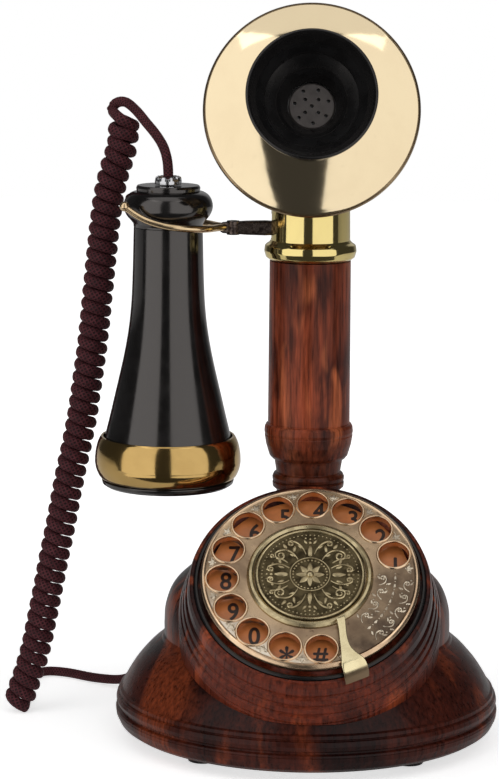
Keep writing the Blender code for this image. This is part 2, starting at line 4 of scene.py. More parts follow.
import bmesh
import bpy
import numpy as np
from mathutils import Matrix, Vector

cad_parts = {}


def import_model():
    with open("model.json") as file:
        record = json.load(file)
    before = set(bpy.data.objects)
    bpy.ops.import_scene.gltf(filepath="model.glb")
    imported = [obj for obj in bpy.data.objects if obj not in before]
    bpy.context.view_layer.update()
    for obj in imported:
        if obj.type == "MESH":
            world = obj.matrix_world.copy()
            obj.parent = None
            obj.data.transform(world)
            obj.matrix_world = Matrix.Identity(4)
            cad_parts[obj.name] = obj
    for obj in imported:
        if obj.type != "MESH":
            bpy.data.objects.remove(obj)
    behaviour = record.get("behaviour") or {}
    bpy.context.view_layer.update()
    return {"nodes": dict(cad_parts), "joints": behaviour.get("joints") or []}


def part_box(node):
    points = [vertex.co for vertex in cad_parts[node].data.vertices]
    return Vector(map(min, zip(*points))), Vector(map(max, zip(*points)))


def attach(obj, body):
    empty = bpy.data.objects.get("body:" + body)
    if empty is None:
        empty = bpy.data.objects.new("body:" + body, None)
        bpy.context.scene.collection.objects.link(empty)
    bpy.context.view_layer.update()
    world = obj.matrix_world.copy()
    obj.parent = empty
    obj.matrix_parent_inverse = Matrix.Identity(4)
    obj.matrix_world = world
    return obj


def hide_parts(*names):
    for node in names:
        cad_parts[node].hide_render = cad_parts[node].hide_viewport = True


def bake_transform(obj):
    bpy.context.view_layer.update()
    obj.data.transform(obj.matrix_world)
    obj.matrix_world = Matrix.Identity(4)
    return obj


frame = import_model()
mm = 0.001

# Axes that the pieces are turned about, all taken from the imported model


def makeAxis(origin, normal=(0, 0, 1)):
    # A local frame: ez along the normal, ex along world X, ey completing it.
    ez = np.array(normal, float) / np.linalg.norm(normal)
    ex = np.array((1.0, 0.0, 0.0))
    return {"origin": np.array(origin, float), "ex": ex, "ey": np.cross(ez, ex), "ez": ez}


def middle(node):
    low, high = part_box(node)
    return (low + high) / 2


def jointNamed(name):
    return next(j for j in frame["joints"] if j["name"] == name)


column = middle("column")
columnAxis = makeAxis((column.x, column.y, 0))
receiverSeat = middle("receiver_cap")
receiverAxis = makeAxis((receiverSeat.x, receiverSeat.y, 0))
dialJoint = jointNamed("dial_turn")
dialAxis = makeAxis(dialJoint["pos_m"], dialJoint["axis"])
hookAxis = makeAxis(jointNamed("hook_swing")["pos_m"])
tiltAxis = makeAxis(jointNamed("head_tilt")["pos_m"])
faceTilt = radians(14.5)
# the faceplate's own axis starts at the middle of the dome, forward of the tilt screw
faceAxis = makeAxis(tiltAxis["origin"] + np.array((0, -29.0, 34.3)) * mm,
                    (0, -cos(faceTilt), sin(faceTilt)))


def world(axis, points):
    # Local (x, y, z) in millimetres to world metres.
    points = np.asarray(points, float) * mm
    return (axis["origin"] + points[..., :1] * axis["ex"] + points[..., 1:2] * axis["ey"]
            + points[..., 2:3] * axis["ez"])


# Camera first, then the cord, because the unseen length depends on the view

camera = {
    "back": 1236.0, "height": 358.0, "lens": 130.49,
    "pitch": radians(9.306), "pan": radians(1.224), "roll": radians(0.358),
}


def addCamera():
    # The lens looks along +Y from in front, pitched down, panned left and rolled a little.
    pitch, pan, roll = camera["pitch"], camera["pan"], camera["roll"]
    ahead = np.array((-sin(pan) * cos(pitch), cos(pan) * cos(pitch), -sin(pitch)))
    right = np.array((cos(pan), sin(pan), 0.0))
    up = np.cross(right, ahead)
    turnedRight = right * cos(roll) + up * sin(roll)
    turnedUp = up * cos(roll) - right * sin(roll)
    data = bpy.data.cameras.new("portrait_camera")
    data.lens = camera["lens"]
    data.sensor_width = 36.0
    data.clip_start, data.clip_end = 0.05, 20.0
    eye = bpy.data.objects.new("portrait_camera", data)
    bpy.context.scene.collection.objects.link(eye)
    place = np.eye(4)
    place[:3, 0], place[:3, 1], place[:3, 2] = turnedRight, turnedUp, -ahead
    place[:3, 3] = columnAxis["origin"] + np.array((0, -camera["back"], camera["height"])) * mm
    eye.matrix_world = Matrix(place.tolist())
    bpy.context.scene.camera = eye


addCamera()
print("camera placed")

# Mesh tools: every new piece is a grid of points worked out with numpy


def gridFaces(rows, columns, wrapRows, wrapColumns):
    # Quads between neighbouring points of a rows by columns grid, wrapped where it closes.
    a, b = np.meshgrid(np.arange(rows if wrapRows else rows - 1),
                       np.arange(columns if wrapColumns else columns - 1), indexing="ij")
    a, b = a.ravel(), b.ravel()
    nextA, nextB = (a + 1) % rows, (b + 1) % columns
    return np.stack([a * columns + b, a * columns + nextB,
                     nextA * columns + nextB, nextA * columns + b], axis=1)


def buildPiece(name, shapes, material, body, sharp=32.0, uv=None):
    # Joins shapes, each (points, quads), into one mesh; poles collapse as doubles are merged.
    points, quads, start = [], [], 0
    for shapePoints, shapeQuads in shapes:
        points.append(shapePoints.reshape(-1, 3))
        quads.append(shapeQuads + start)
        start += len(points[-1])
    points, quads = np.concatenate(points), np.concatenate(quads)
    mesh = bpy.data.meshes.new(name)
    mesh.vertices.add(len(points))
    mesh.vertices.foreach_set("co", points.astype(np.float32).ravel())
    mesh.loops.add(quads.size)
    mesh.loops.foreach_set("vertex_index", quads.astype(np.int32).ravel())
    mesh.polygons.add(len(quads))
    mesh.polygons.foreach_set("loop_start", np.arange(0, quads.size, 4, dtype=np.int32))
    mesh.update(calc_edges=True)
    if uv is not None:
        layer = mesh.uv_layers.new(name="run")
        layer.data.foreach_set("uv", uv.astype(np.float32).ravel())
    tidy = bmesh.new()
    tidy.from_mesh(mesh)
    bmesh.ops.remove_doubles(tidy, verts=tidy.verts, dist=2e-7)
    bmesh.ops.recalc_face_normals(tidy, faces=tidy.faces)
    tidy.to_mesh(mesh)
    tidy.free()
    mesh.validate()
    mesh.shade_smooth()
    mesh.set_sharp_from_angle(angle=radians(sharp))
    mesh.materials.append(material)
    piece = bpy.data.objects.new(name, mesh)
    bpy.context.scene.collection.objects.link(piece)
    if body:
        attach(piece, body)
    return piece


def filleted(corners, steps=5):
    # Each corner is (radius, height, fillet); a fillet becomes an arc tangent to both sides,
    # with one more point a little way along each side so that flat faces stay flat to the eye.
    points = [np.array(c[:2], float) for c in corners]
    fillets = [c[2] if len(c) > 2 else 0.0 for c in corners]
    made = [points[0]]
    for before, corner, after, fillet in zip(points, points[1:], points[2:], fillets[1:]):
        toBefore, toAfter = before - corner, after - corner
        reachBefore, reachAfter = np.linalg.norm(toBefore), np.linalg.norm(toAfter)
        toBefore, toAfter = toBefore / reachBefore, toAfter / reachAfter
        half = np.arccos(np.clip(toBefore @ toAfter, -1, 1)) / 2
        reach = min(fillet / max(np.tan(half), 1e-3), 0.48 * reachBefore, 0.48 * reachAfter)
        if fillet <= 0 or half > 1.55:
            made.append(corner)
            continue
        support = min(0.35 * reach, 0.01 * reachBefore + 0.02, 0.01 * reachAfter + 0.02)
        t = np.linspace(0, 1, steps + 1)[:, None]
        first, last = corner + toBefore * reach, corner + toAfter * reach
        arc = (1 - t) ** 2 * first + 2 * t * (1 - t) * corner + t ** 2 * last
        made += [first + toBefore * support, *arc, last + toAfter * support]
    made.append(points[-1])
    return np.array(made)


def throughPoints(points, count):
    # A Catmull-Rom curve through flat or solid points, count samples on each stretch.
    p = np.asarray(points, float)
    p = np.concatenate([2 * p[:1] - p[1:2], p, 2 * p[-1:] - p[-2:-1]])
    t = np.linspace(0, 1, count, endpoint=False)[:, None]
    stretches = [0.5 * (2 * b + (c - a) * t + (2 * a - 5 * b + 4 * c - d) * t ** 2
                        + (3 * b - a - 3 * c + d) * t ** 3)
                 for a, b, c, d in zip(p, p[1:], p[2:], p[3:])]
    return np.concatenate(stretches + [p[-2:-1]])


def spacedAlong(path, step):
    # The same path with points at even steps of its length.
    lengths = np.concatenate([[0], np.cumsum(np.linalg.norm(np.diff(path, axis=0), axis=1))])
    at = np.linspace(0, lengths[-1], max(2, int(round(lengths[-1] / step)) + 1))
    return np.stack([np.interp(at, lengths, path[:, k]) for k in range(3)], axis=1)


def turnedShape(axis, profile, steps=160, ring=True, offset=(0.0, 0.0)):
    # A lathe surface: each profile point (r, z) swept round as r cos u, r sin u, z.
    profile = np.asarray(profile, float)
    u = np.linspace(0, 2 * pi, steps, endpoint=False)
    r, z = profile[:, 0][:, None], profile[:, 1][:, None]
    local = np.stack([r * np.cos(u) + offset[0], r * np.sin(u) + offset[1],
                      z + 0 * u], axis=2)
    return world(axis, local), gridFaces(len(profile), steps, ring, True)


def turnedPiece(name, axis, profile, material, body, steps=160, ring=True, replaces=()):
    # One lathe surface as a piece of its own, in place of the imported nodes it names.
    piece = buildPiece(name, [turnedShape(axis, profile, steps, ring)], material, body)
    if replaces:
        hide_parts(*replaces)
    return piece


def tubeShape(path, radii, sides, reference, flat=1.0):
    # A tube: at each path point a circle in the plane across the path, with both ends closed.
    # reference is a direction, or one for each point, that the circle's second axis leans to;
    # flat squeezes the tube along it.
    path = np.asarray(path, float)
    along = np.gradient(path, axis=0)
    along /= np.linalg.norm(along, axis=1)[:, None]
    side = np.cross(along, np.broadcast_to(reference, path.shape))
    side /= np.linalg.norm(side, axis=1)[:, None]
    up = np.cross(side, along)
    radii = np.broadcast_to(radii, len(path))[:, None, None]
    v = np.linspace(0, 2 * pi, sides, endpoint=False)[None, :, None]
    rings = path[:, None] + radii * (side[:, None] * np.cos(v) + flat * up[:, None] * np.sin(v))
    first = np.repeat(path[:1, None], sides, axis=1)
    last = np.repeat(path[-1:, None], sides, axis=1)
    rings = np.concatenate([first, rings, last])
    return rings, gridFaces(len(rings), sides, False, True)


def cutWith(piece, shapes):
    # Cuts closed shapes out of a piece and keeps the result as its mesh.
    cutter = buildPiece("cutter", shapes, piece.data.materials[0], None)
    bite = piece.modifiers.new("Cut", "BOOLEAN")
    bite.operation, bite.solver, bite.object = "DIFFERENCE", "EXACT", cutter
    bpy.context.view_layer.update()
    graph = bpy.context.evaluated_depsgraph_get()
    cut = bpy.data.meshes.new_from_object(piece.evaluated_get(graph))
    old = piece.data
    piece.modifiers.clear()
    piece.data = cut
    cut.name = piece.name
    cut.set_sharp_from_angle(angle=radians(32))
    bpy.data.meshes.remove(old)
    bpy.data.objects.remove(cutter)


def drillHoles(piece, axis, radius, low, high, steps, centres):
    # Cuts the same round bore through a piece at each centre, from height low to high.
    bore = np.array([(0, high), (radius, high), (radius, low), (0, low)])
    cutWith(piece, [turnedShape(axis, bore, steps, False, centre) for centre in centres])


def onCircles(circles):
    # Even places round circles, each circle given as radius, count and first angle.
    return [(r * cos(first + 2 * pi * i / count), r * sin(first + 2 * pi * i / count))
            for r, count, first in circles for i in range(count)]


def closedEnds(rings):
    # Adds the middle of the first and last ring as poles, so that a tube of rings is shut.
    poles = [np.repeat(rings[k:k + 1].mean(axis=1, keepdims=True), rings.shape[1], axis=1)
             for k in (0, -1)]
    return np.concatenate([poles[0], rings, poles[1]])


def squared(values, power):
    # A sine or cosine raised to a power with its sign kept, which squares a circle's corners.
    return np.sign(values) * np.abs(values) ** power


def boxShape(axis, low, high):
    # A closed box between two local corners, as a ring of four points swept from one end cap.
    (x0, y0, z0), (x1, y1, z1) = low, high
    loop = np.array([(x0, y0), (x1, y0), (x1, y1), (x0, y1)])
    centre = loop.mean(axis=0)
    rows = [np.column_stack([np.repeat(centre[None], 4, 0), np.full(4, z0)]),
            np.column_stack([loop, np.full(4, z0)]), np.column_stack([loop, np.full(4, z1)]),
            np.column_stack([np.repeat(centre[None], 4, 0), np.full(4, z1)])]
    return world(axis, np.stack(rows)), gridFaces(4, 4, False, True)

# Shader node groups shared by several materials


def addNode(tree, kind, inputs=None, **settings):
    # Each input is either another node's socket, which is linked, or a plain value.
    node = tree.nodes.new(kind)
    for setting, value in settings.items():
        setattr(node, setting, value)
    for socket, value in (inputs or {}).items():
        if isinstance(value, bpy.types.NodeSocket):
            tree.links.new(value, node.inputs[socket])
        else:
            node.inputs[socket].default_value = value
    return node


def newGroup(name, ins, outs):
    group = bpy.data.node_groups.new(name, "ShaderNodeTree")
    for socket, (kind, value) in ins.items():
        made = group.interface.new_socket(socket, in_out="INPUT", socket_type=kind)
        if value is not None:
            made.default_value = value
    for socket, kind in outs.items():
        group.interface.new_socket(socket, in_out="OUTPUT", socket_type=kind)
    return group, group.nodes.new("NodeGroupInput").outputs, group.nodes.new("NodeGroupOutput")


def scaledVector(tree, vector, scale):
    return addNode(tree, "ShaderNodeVectorMath", {0: vector, 1: scale},
                   operation="MULTIPLY").outputs[0]


def noise(tree, vector, scale, detail=3.0, rough=0.5, distortion=0.0):
    # Fractal noise from 0 to 1; scale counts its cells in one unit of the vector.
    return addNode(tree, "ShaderNodeTexNoise", {
        "Vector": vector, "Scale": scale, "Detail": detail, "Roughness": rough,
        "Distortion": distortion}).outputs["Fac"]


def spread(tree, value, low, high, toLow=0.0, toHigh=1.0):
    # Maps low..high on to toLow..toHigh with soft ends.
    return addNode(tree, "ShaderNodeMapRange", {
        "Value": value, "From Min": low, "From Max": high, "To Min": toLow, "To Max": toHigh},
        interpolation_type="SMOOTHSTEP").outputs["Result"]


def mixColour(tree, amount, a, b, blend="MIX"):
    # Counted from 0, a Mix node's colours are its inputs 6 and 7 and its output 2.
    return addNode(tree, "ShaderNodeMix", {0: amount, 6: a, 7: b}, data_type="RGBA",
                   blend_type=blend).outputs[2]


def arith(tree, operation, a, b=0.0, clamp=False):
    return addNode(tree, "ShaderNodeMath", {0: a, 1: b}, operation=operation,
                   use_clamp=clamp).outputs[0]


def rgb(red, green, blue):
    return (red, green, blue, 1.0)


def makeGrainGroup():
    # Stained close-grained wood: cloudy patches, long fibres along Z and short dark pores.
    group, given, result = newGroup("wood_grain", {
        "Vector": ("NodeSocketVector", None), "Dark": ("NodeSocketColor", rgb(0, 0, 0)),
        "Middle": ("NodeSocketColor", rgb(0, 0, 0)), "Light": ("NodeSocketColor", rgb(0, 0, 0)),
        "Patches": ("NodeSocketFloat", 26.0), "Fibres": ("NodeSocketFloat", 420.0)},
        {"Color": "NodeSocketColor", "Roughness": "NodeSocketFloat", "Height": "NodeSocketFloat"})
    stretched = scaledVector(group, given["Vector"], (1.0, 1.0, 0.42))
    fibreVector = scaledVector(group, given["Vector"], (1.0, 1.0, 0.055))
    cloud = noise(group, stretched, given["Patches"], 4.0, 0.55, 0.6)
    flame = noise(group, scaledVector(group, given["Vector"], (1.9, 1.9, 0.5)),
                  given["Patches"], 2.0, 0.5, 1.2)
    fibre = noise(group, fibreVector, given["Fibres"], 5.0, 0.62)
    pore = noise(group, fibreVector, arith(group, "MULTIPLY", given["Fibres"], 2.6), 2.0, 0.5)
    base = mixColour(group, spread(group, cloud, 0.40, 0.60), given["Dark"], given["Middle"])
    base = mixColour(group, spread(group, flame, 0.50, 0.66, 0.0, 0.85), base, given["Light"])
    fibreShade = spread(group, fibre, 0.30, 0.70, 0.45, 1.45)
    shade = addNode(group, "ShaderNodeCombineColor", {0: fibreShade, 1: fibreShade,
                                                      2: fibreShade}).outputs[0]
    base = mixColour(group, 1.0, base, shade, "MULTIPLY")
    poreMask = spread(group, pore, 0.62, 0.72)
    base = mixColour(group, arith(group, "MULTIPLY", poreMask, 0.55), base, given["Dark"])
    group.links.new(base, result.inputs["Color"])
    group.links.new(spread(group, fibre, 0.2, 0.8, 0.24, 0.38), result.inputs["Roughness"])
    height = arith(group, "SUBTRACT", arith(group, "MULTIPLY", fibre, 0.5), poreMask)
    group.links.new(height, result.inputs["Height"])
    return group


def makeTarnishGroup():
    # Cloudy tarnish: a mask of brown patches, with the roughness and colour that go with it.
    group, given, result = newGroup("tarnish", {
        "Vector": ("NodeSocketVector", None), "Bright": ("NodeSocketColor", rgb(1, 1, 1)),
        "Tarnish": ("NodeSocketColor", rgb(0, 0, 0)), "Scale": ("NodeSocketFloat", 60.0),
        "Amount": ("NodeSocketFloat", 0.3), "Polish": ("NodeSocketFloat", 0.15)},
        {"Color": "NodeSocketColor", "Roughness": "NodeSocketFloat", "Height": "NodeSocketFloat"})
    cloud = noise(group, given["Vector"], given["Scale"], 5.0, 0.6, 0.4)
    speck = noise(group, given["Vector"], arith(group, "MULTIPLY", given["Scale"], 9.0), 3.0, 0.6)
    mask = arith(group, "MULTIPLY", spread(group, cloud, 0.38, 0.66), given["Amount"])
    mask = arith(group, "ADD", mask, arith(group, "MULTIPLY", spread(group, speck, 0.62, 0.74),
                                           arith(group, "MULTIPLY", given["Amount"], 0.6)), True)
    group.links.new(mixColour(group, mask, given["Bright"], given["Tarnish"]),
                    result.inputs["Color"])
    rough = arith(group, "ADD", given["Polish"], arith(group, "MULTIPLY", mask, 0.22))
    group.links.new(rough, result.inputs["Roughness"])
    group.links.new(speck, result.inputs["Height"])
    return group


def makeBraidGroup():
    # A braided sleeve on the run UV: two sets of slanted strands that pass over and under.
    group, given, result = newGroup("braid", {
        "Vector": ("NodeSocketVector", None), "Strands": ("NodeSocketFloat", 8.0),
        "Pitch": ("NodeSocketFloat", 260.0)},
        {"Height": "NodeSocketFloat", "Edge": "NodeSocketFloat"})
    parts = addNode(group, "ShaderNodeSeparateXYZ", {0: given["Vector"]}).outputs
    across = arith(group, "MULTIPLY", parts[0], given["Strands"])
    along = arith(group, "MULTIPLY", parts[1], given["Pitch"])
    ridges = []
    for sign in ("ADD", "SUBTRACT"):
        wave = arith(group, "MULTIPLY", arith(group, sign, across, along), 2 * pi)
        ridges.append(arith(group, "ADD", arith(group, "MULTIPLY",
                                                arith(group, "SINE", wave), 0.5), 0.5))
    height = arith(group, "MAXIMUM", ridges[0], ridges[1])
    group.links.new(height, result.inputs["Height"])
    # this mask marks the grooves between strands, which the cord's colour paints near black as
    # shade
    group.links.new(spread(group, height, 0.45, 0.85), result.inputs["Edge"])
    return group


grainGroup = makeGrainGroup()
tarnishGroup = makeTarnishGroup()
braidGroup = makeBraidGroup()


def newMaterial(name, fixed):
    # fixed holds the values that are the same all over, on the shader's own sockets.
    material = bpy.data.materials.new(name)
    material.use_nodes = True
    tree = material.node_tree
    shader = tree.nodes["Principled BSDF"]
    for socket, value in fixed.items():
        shader.inputs[socket].default_value = value
    where = addNode(tree, "ShaderNodeTexCoord").outputs["Object"]
    return material, tree, shader, where


def placeGroup(tree, group, inputs):
    return addNode(tree, "ShaderNodeGroup", inputs, node_tree=group).outputs


def addBump(tree, shader, height, depth):
    bump = addNode(tree, "ShaderNodeBump", {"Height": height, "Distance": depth})
    tree.links.new(bump.outputs[0], shader.inputs["Normal"])


def greyOf(tree, value):
    # The same value as red, green and blue.
    return addNode(tree, "ShaderNodeCombineColor", {0: value, 1: value, 2: value}).outputs[0]


def linkLook(tree, shader, look):
    tree.links.new(look["Color"], shader.inputs["Base Color"])
    tree.links.new(look["Roughness"], shader.inputs["Roughness"])


def localVector(tree, where, axis):
    # Object coordinates counted from a piece's own axis, so that its grain runs along it.
    back = addNode(tree, "ShaderNodeMapping", {"Vector": where}, vector_type="TEXTURE")
    back.inputs["Location"].default_value = axis["origin"]
    back.inputs["Rotation"].default_value = (np.arctan2(-axis["ez"][1], axis["ez"][2]), 0, 0)
    return back.outputs[0]


# Materials

woodLook = {
    # dark, middle and light stain of each turning
    "column": (rgb(0.054, 0.0105, 0.0062), rgb(0.285, 0.058, 0.0240), rgb(0.500, 0.130, 0.0500)),
    "base": (rgb(0.014, 0.0034, 0.0027), rgb(0.058, 0.0118, 0.0068), rgb(0.195, 0.038, 0.0130)),
    "housing": (rgb(0.026, 0.0050, 0.0032), rgb(0.140, 0.0245, 0.0105),
                rgb(0.300, 0.058, 0.0180)),
    "fibres": 620.0, "coat": 0.055, "coatRoughness": 0.07, "specular": 0.13,
    # painted shade: the column's colour is darkened below this height and again just under the
    # collar
    "columnFootShade": (0.118, 0.152), "columnCollarShade": (0.196, 0.214),
}


def makeWood(name, stains, axis, patches, seedShift):
    material, tree, shader, where = newMaterial(name, {
        "Coat Weight": woodLook["coat"], "Coat Roughness": woodLook["coatRoughness"],
        "Specular IOR Level": woodLook["specular"]})
    vector = addNode(tree, "ShaderNodeVectorMath", {0: localVector(tree, where, axis),
                                                    1: seedShift}, operation="ADD").outputs[0]
    dark, between, light = woodLook[stains]
    grain = placeGroup(tree, grainGroup, {
        "Vector": vector, "Dark": dark, "Middle": between,
        "Light": light, "Patches": patches, "Fibres": woodLook["fibres"]})
    colour = grain["Color"]
    if stains == "column":
        # painted shade: the column's colour is multiplied darker towards its foot and just under
        # the collar
        height = addNode(tree, "ShaderNodeSeparateXYZ", {0: where}).outputs[2]
        foot, top = woodLook["columnFootShade"], woodLook["columnCollarShade"]
        shade = arith(tree, "MULTIPLY", spread(tree, height, *foot, 0.27, 1.0),
                      spread(tree, height, *top, 1.0, 0.6))
        colour = mixColour(tree, 1.0, colour, greyOf(tree, shade), "MULTIPLY")
    tree.links.new(colour, shader.inputs["Base Color"])
    tree.links.new(grain["Roughness"], shader.inputs["Roughness"])
    addBump(tree, shader, grain["Height"], 0.00006)
    return material


def makeMetal(name, bright, tarnish, scale, amount, polish, depth=0.000004):
    material, tree, shader, where = newMaterial(name, {"Metallic": 1.0})
    look = placeGroup(tree, tarnishGroup, {
        "Vector": where, "Bright": bright, "Tarnish": tarnish, "Scale": scale,
        "Amount": amount, "Polish": polish})
    linkLook(tree, shader, look)
    addBump(tree, shader, look["Height"], depth)
    return material


def makeMoulded(name, colour, roughness, ior, grainScale, depth, spreadBy=0.06, coat=0.0):
    # Plastic, rubber or enamel: a little mottling in its colour and its gloss.
    material, tree, shader, where = newMaterial(name, {
        "IOR": ior, "Coat Weight": coat, "Coat Roughness": 0.08,
        "Specular Tint": rgb(1.0, 0.93, 0.89)})
    cloud = noise(tree, where, grainScale * 0.12, 4.0, 0.6)
    fine = noise(tree, where, grainScale, 3.0, 0.6)
    lighter = tuple(min(1.0, c * 1.35 + 0.002) for c in colour[:3]) + (1.0,)
    tree.links.new(mixColour(tree, spread(tree, cloud, 0.35, 0.65), colour, lighter),
                   shader.inputs["Base Color"])
    tree.links.new(spread(tree, cloud, 0.3, 0.7, roughness, roughness + spreadBy),
                   shader.inputs["Roughness"])
    addBump(tree, shader, fine, depth)
    return material


def makeBraid():
    material, tree, shader, where = newMaterial("braid_cover", {
        "Sheen Weight": 0.25, "Sheen Roughness": 0.45, "Sheen Tint": rgb(0.50, 0.20, 0.22),
        "Specular IOR Level": 0.25})
    run = addNode(tree, "ShaderNodeUVMap", uv_map="run").outputs[0]
    weave = placeGroup(tree, braidGroup, {"Vector": run, "Strands": 7.0, "Pitch": 620.0})
    cloud = noise(tree, where, 300.0, 3.0, 0.6)
    thread = mixColour(tree, spread(tree, cloud, 0.35, 0.65), rgb(0.060, 0.010, 0.014),
                       rgb(0.105, 0.024, 0.030))
    # painted shade: the grooves between strands are coloured near black
    tree.links.new(mixColour(tree, weave["Edge"], rgb(0.012, 0.002, 0.003), thread),
                   shader.inputs["Base Color"])
    tree.links.new(spread(tree, cloud, 0.3, 0.7, 0.62, 0.78), shader.inputs["Roughness"])
    addBump(tree, shader, weave["Height"], 0.00022)
    return material


def makeWheelBronze():
    # Bronze that is darkest on the wheel's blank segment, with a near-white painted highlight at
    # the rim across from it.
    material, tree, shader, where = newMaterial("wheel_bronze", {"Metallic": 1.0})
    look = placeGroup(tree, tarnishGroup, {
        "Vector": where, "Bright": rgb(0.52, 0.37, 0.23), "Tarnish": rgb(0.20, 0.13, 0.085),
        "Scale": 42.0, "Amount": 0.7, "Polish": 0.25})
    flat = addNode(tree, "ShaderNodeSeparateXYZ", {0: localVector(tree, where, dialAxis)}).outputs
    patinaAndHighlightMasks = []
    for x, y, low, high in ((0.90, -0.44, 0.016, 0.034), (-0.55, -0.83, 0.028, 0.046)):
        across = arith(tree, "ADD", arith(tree, "MULTIPLY", flat[0], x),
                       arith(tree, "MULTIPLY", flat[1], y))
        patinaAndHighlightMasks.append(spread(tree, across, low, high))
    cloud = noise(tree, where, 95.0, 4.0, 0.6)
    # painted highlight: a near-white patch near the lower-left rim stands in for the reflection of
    # a lamp
    paintedRimHighlight = arith(tree, "MULTIPLY", patinaAndHighlightMasks[1], spread(tree, cloud, 0.2, 0.6, 0.55, 1.0))
    aged = arith(tree, "MULTIPLY", patinaAndHighlightMasks[0], spread(tree, cloud, 0.3, 0.7, 0.95, 0.55))
    colour = mixColour(tree, aged, look["Color"], rgb(0.080, 0.055, 0.040))
    tree.links.new(mixColour(tree, paintedRimHighlight, colour, rgb(0.90, 0.80, 0.66)),
                   shader.inputs["Base Color"])
    tree.links.new(look["Roughness"], shader.inputs["Roughness"])
    # fine circular brushing
    ring = addNode(tree, "ShaderNodeVectorMath", {0: localVector(tree, where, dialAxis)},
                   operation="LENGTH").outputs["Value"]
    line = addNode(tree, "ShaderNodeTexNoise", {"W": ring, "Scale": 5200.0, "Detail": 2.0},
                   noise_dimensions="1D").outputs["Fac"]
    addBump(tree, shader, line, 0.000012)
    return material


def makeStopBrass():
    # Pale brass, with a painted reflection on the lip that is bent down over the rim: it is
    # darkened to the brown of the wood it faces.
    material, tree, shader, where = newMaterial("stop_brass", {"Metallic": 1.0})
    look = placeGroup(tree, tarnishGroup, {
        "Vector": where, "Bright": rgb(0.86, 0.74, 0.45), "Tarnish": rgb(0.50, 0.38, 0.20),
        "Scale": 120.0, "Amount": 0.35, "Polish": 0.20})
    height = addNode(tree, "ShaderNodeSeparateXYZ",
                     {0: localVector(tree, where, dialAxis)}).outputs[2]
    # painted reflection: below the wheel's face the lip is mixed towards dark brown, as the wood it
    # faces would reflect
    lip = arith(tree, "MULTIPLY", spread(tree, height, -0.0002, 0.0014, 1.0, 0.0), 0.88)
    tree.links.new(mixColour(tree, lip, look["Color"], rgb(0.20, 0.125, 0.075)),
                   shader.inputs["Base Color"])
    tree.links.new(arith(tree, "ADD", look["Roughness"], arith(tree, "MULTIPLY", lip, 0.12)),
                   shader.inputs["Roughness"])
    addBump(tree, shader, look["Height"], 0.000005)
    return material


goldShade = rgb(0.36, 0.22, 0.07)
looks = {
    "columnWood": makeWood("mahogany_column", "column", columnAxis, 34.0, (0.31, 0.12, 0.05)),
    "baseWood": makeWood("mahogany_base", "base", columnAxis, 17.0, (0.07, 0.43, 0.21)),
    "housingWood": makeWood("mahogany_housing", "housing", dialAxis, 22.0, (0.55, 0.02, 0.37)),
    "collarBrass": makeMetal("collar_brass", rgb(0.82, 0.66, 0.27), goldShade, 45.0, 0.10, 0.075),
    "bandBrass": makeMetal("band_brass", rgb(0.56, 0.37, 0.135), goldShade, 60.0, 0.22, 0.09),
    "paleBrass": makeMetal("pale_brass", rgb(0.84, 0.69, 0.45), rgb(0.62, 0.45, 0.27), 30.0,
                           0.12, 0.075),
    "rimBrass": makeMetal("rim_brass", rgb(0.42, 0.30, 0.17), rgb(0.10, 0.05, 0.03), 50.0,
                          0.30, 0.22),
    "forkBrass": makeMetal("fork_brass", rgb(0.74, 0.55, 0.33), goldShade, 60.0, 0.25, 0.16),
    "bronze": makeWheelBronze(),
    "stopBrass": makeStopBrass(),
    "bronzeEdge": makeMetal("bronze_edge", rgb(0.80, 0.58, 0.38), rgb(0.36, 0.20, 0.11), 80.0,
                            0.40, 0.18),
    "relief": makeMetal("relief_gold", rgb(0.56, 0.46, 0.27), rgb(0.16, 0.11, 0.05), 160.0,
                        0.50, 0.26),
    "field": makeMetal("medallion_field", rgb(0.115, 0.088, 0.045), rgb(0.045, 0.034, 0.018),
                       240.0, 0.9, 0.36, 0.00003),
    "silverRelief": makeMetal("rim_relief", rgb(0.72, 0.62, 0.48), rgb(0.20, 0.14, 0.09), 200.0,
                              0.55, 0.22),
    "darkBronze": makeMetal("lever_bronze", rgb(0.130, 0.100, 0.085), rgb(0.018, 0.012, 0.011),
                            420.0, 1.0, 0.22, 0.00003),
    "chrome": makeMetal("terminal_chrome", rgb(0.66, 0.66, 0.67), rgb(0.20, 0.20, 0.22), 120.0,
                        0.30, 0.14),
    "steel": makeMetal("plated_steel", rgb(0.56, 0.56, 0.57), rgb(0.24, 0.22, 0.20), 90.0,
                       0.35, 0.28),
    "blackGloss": makeMoulded("black_gloss", rgb(0.0042, 0.0038, 0.0038), 0.13, 1.78, 900.0,
                              0.0000015),
    "mouthBlack": makeMoulded("mouthpiece_black", rgb(0.0045, 0.0045, 0.0048), 0.24, 1.5, 900.0,
                              0.000002),
    "grilleGrey": makeMoulded("grille_grey", rgb(0.075, 0.066, 0.062), 0.42, 1.5, 1600.0,
                              0.00002),
    "blackPlastic": makeMoulded("black_moulding", rgb(0.014, 0.014, 0.014), 0.38, 1.5, 1400.0,
                                0.00001),
    "rubber": makeMoulded("black_rubber", rgb(0.0045, 0.0045, 0.005), 0.22, 1.45, 1200.0,
                          0.000004),
    "enamel": makeMoulded("amber_enamel", rgb(0.50, 0.165, 0.045), 0.34, 1.5, 500.0, 0.000004,
                          0.12, 0.3),
    "ink": makeMoulded("numeral_ink", rgb(0.014, 0.0035, 0.0020), 0.40, 1.5, 900.0, 0.000004),
    "board": makeMoulded("board_mask", rgb(0.012, 0.085, 0.032), 0.30, 1.5, 700.0, 0.000008),
    "braid": makeBraid(),
}
print("materials made")

# The curly cord: out of the receiver, over to the coil, down it and round into the base

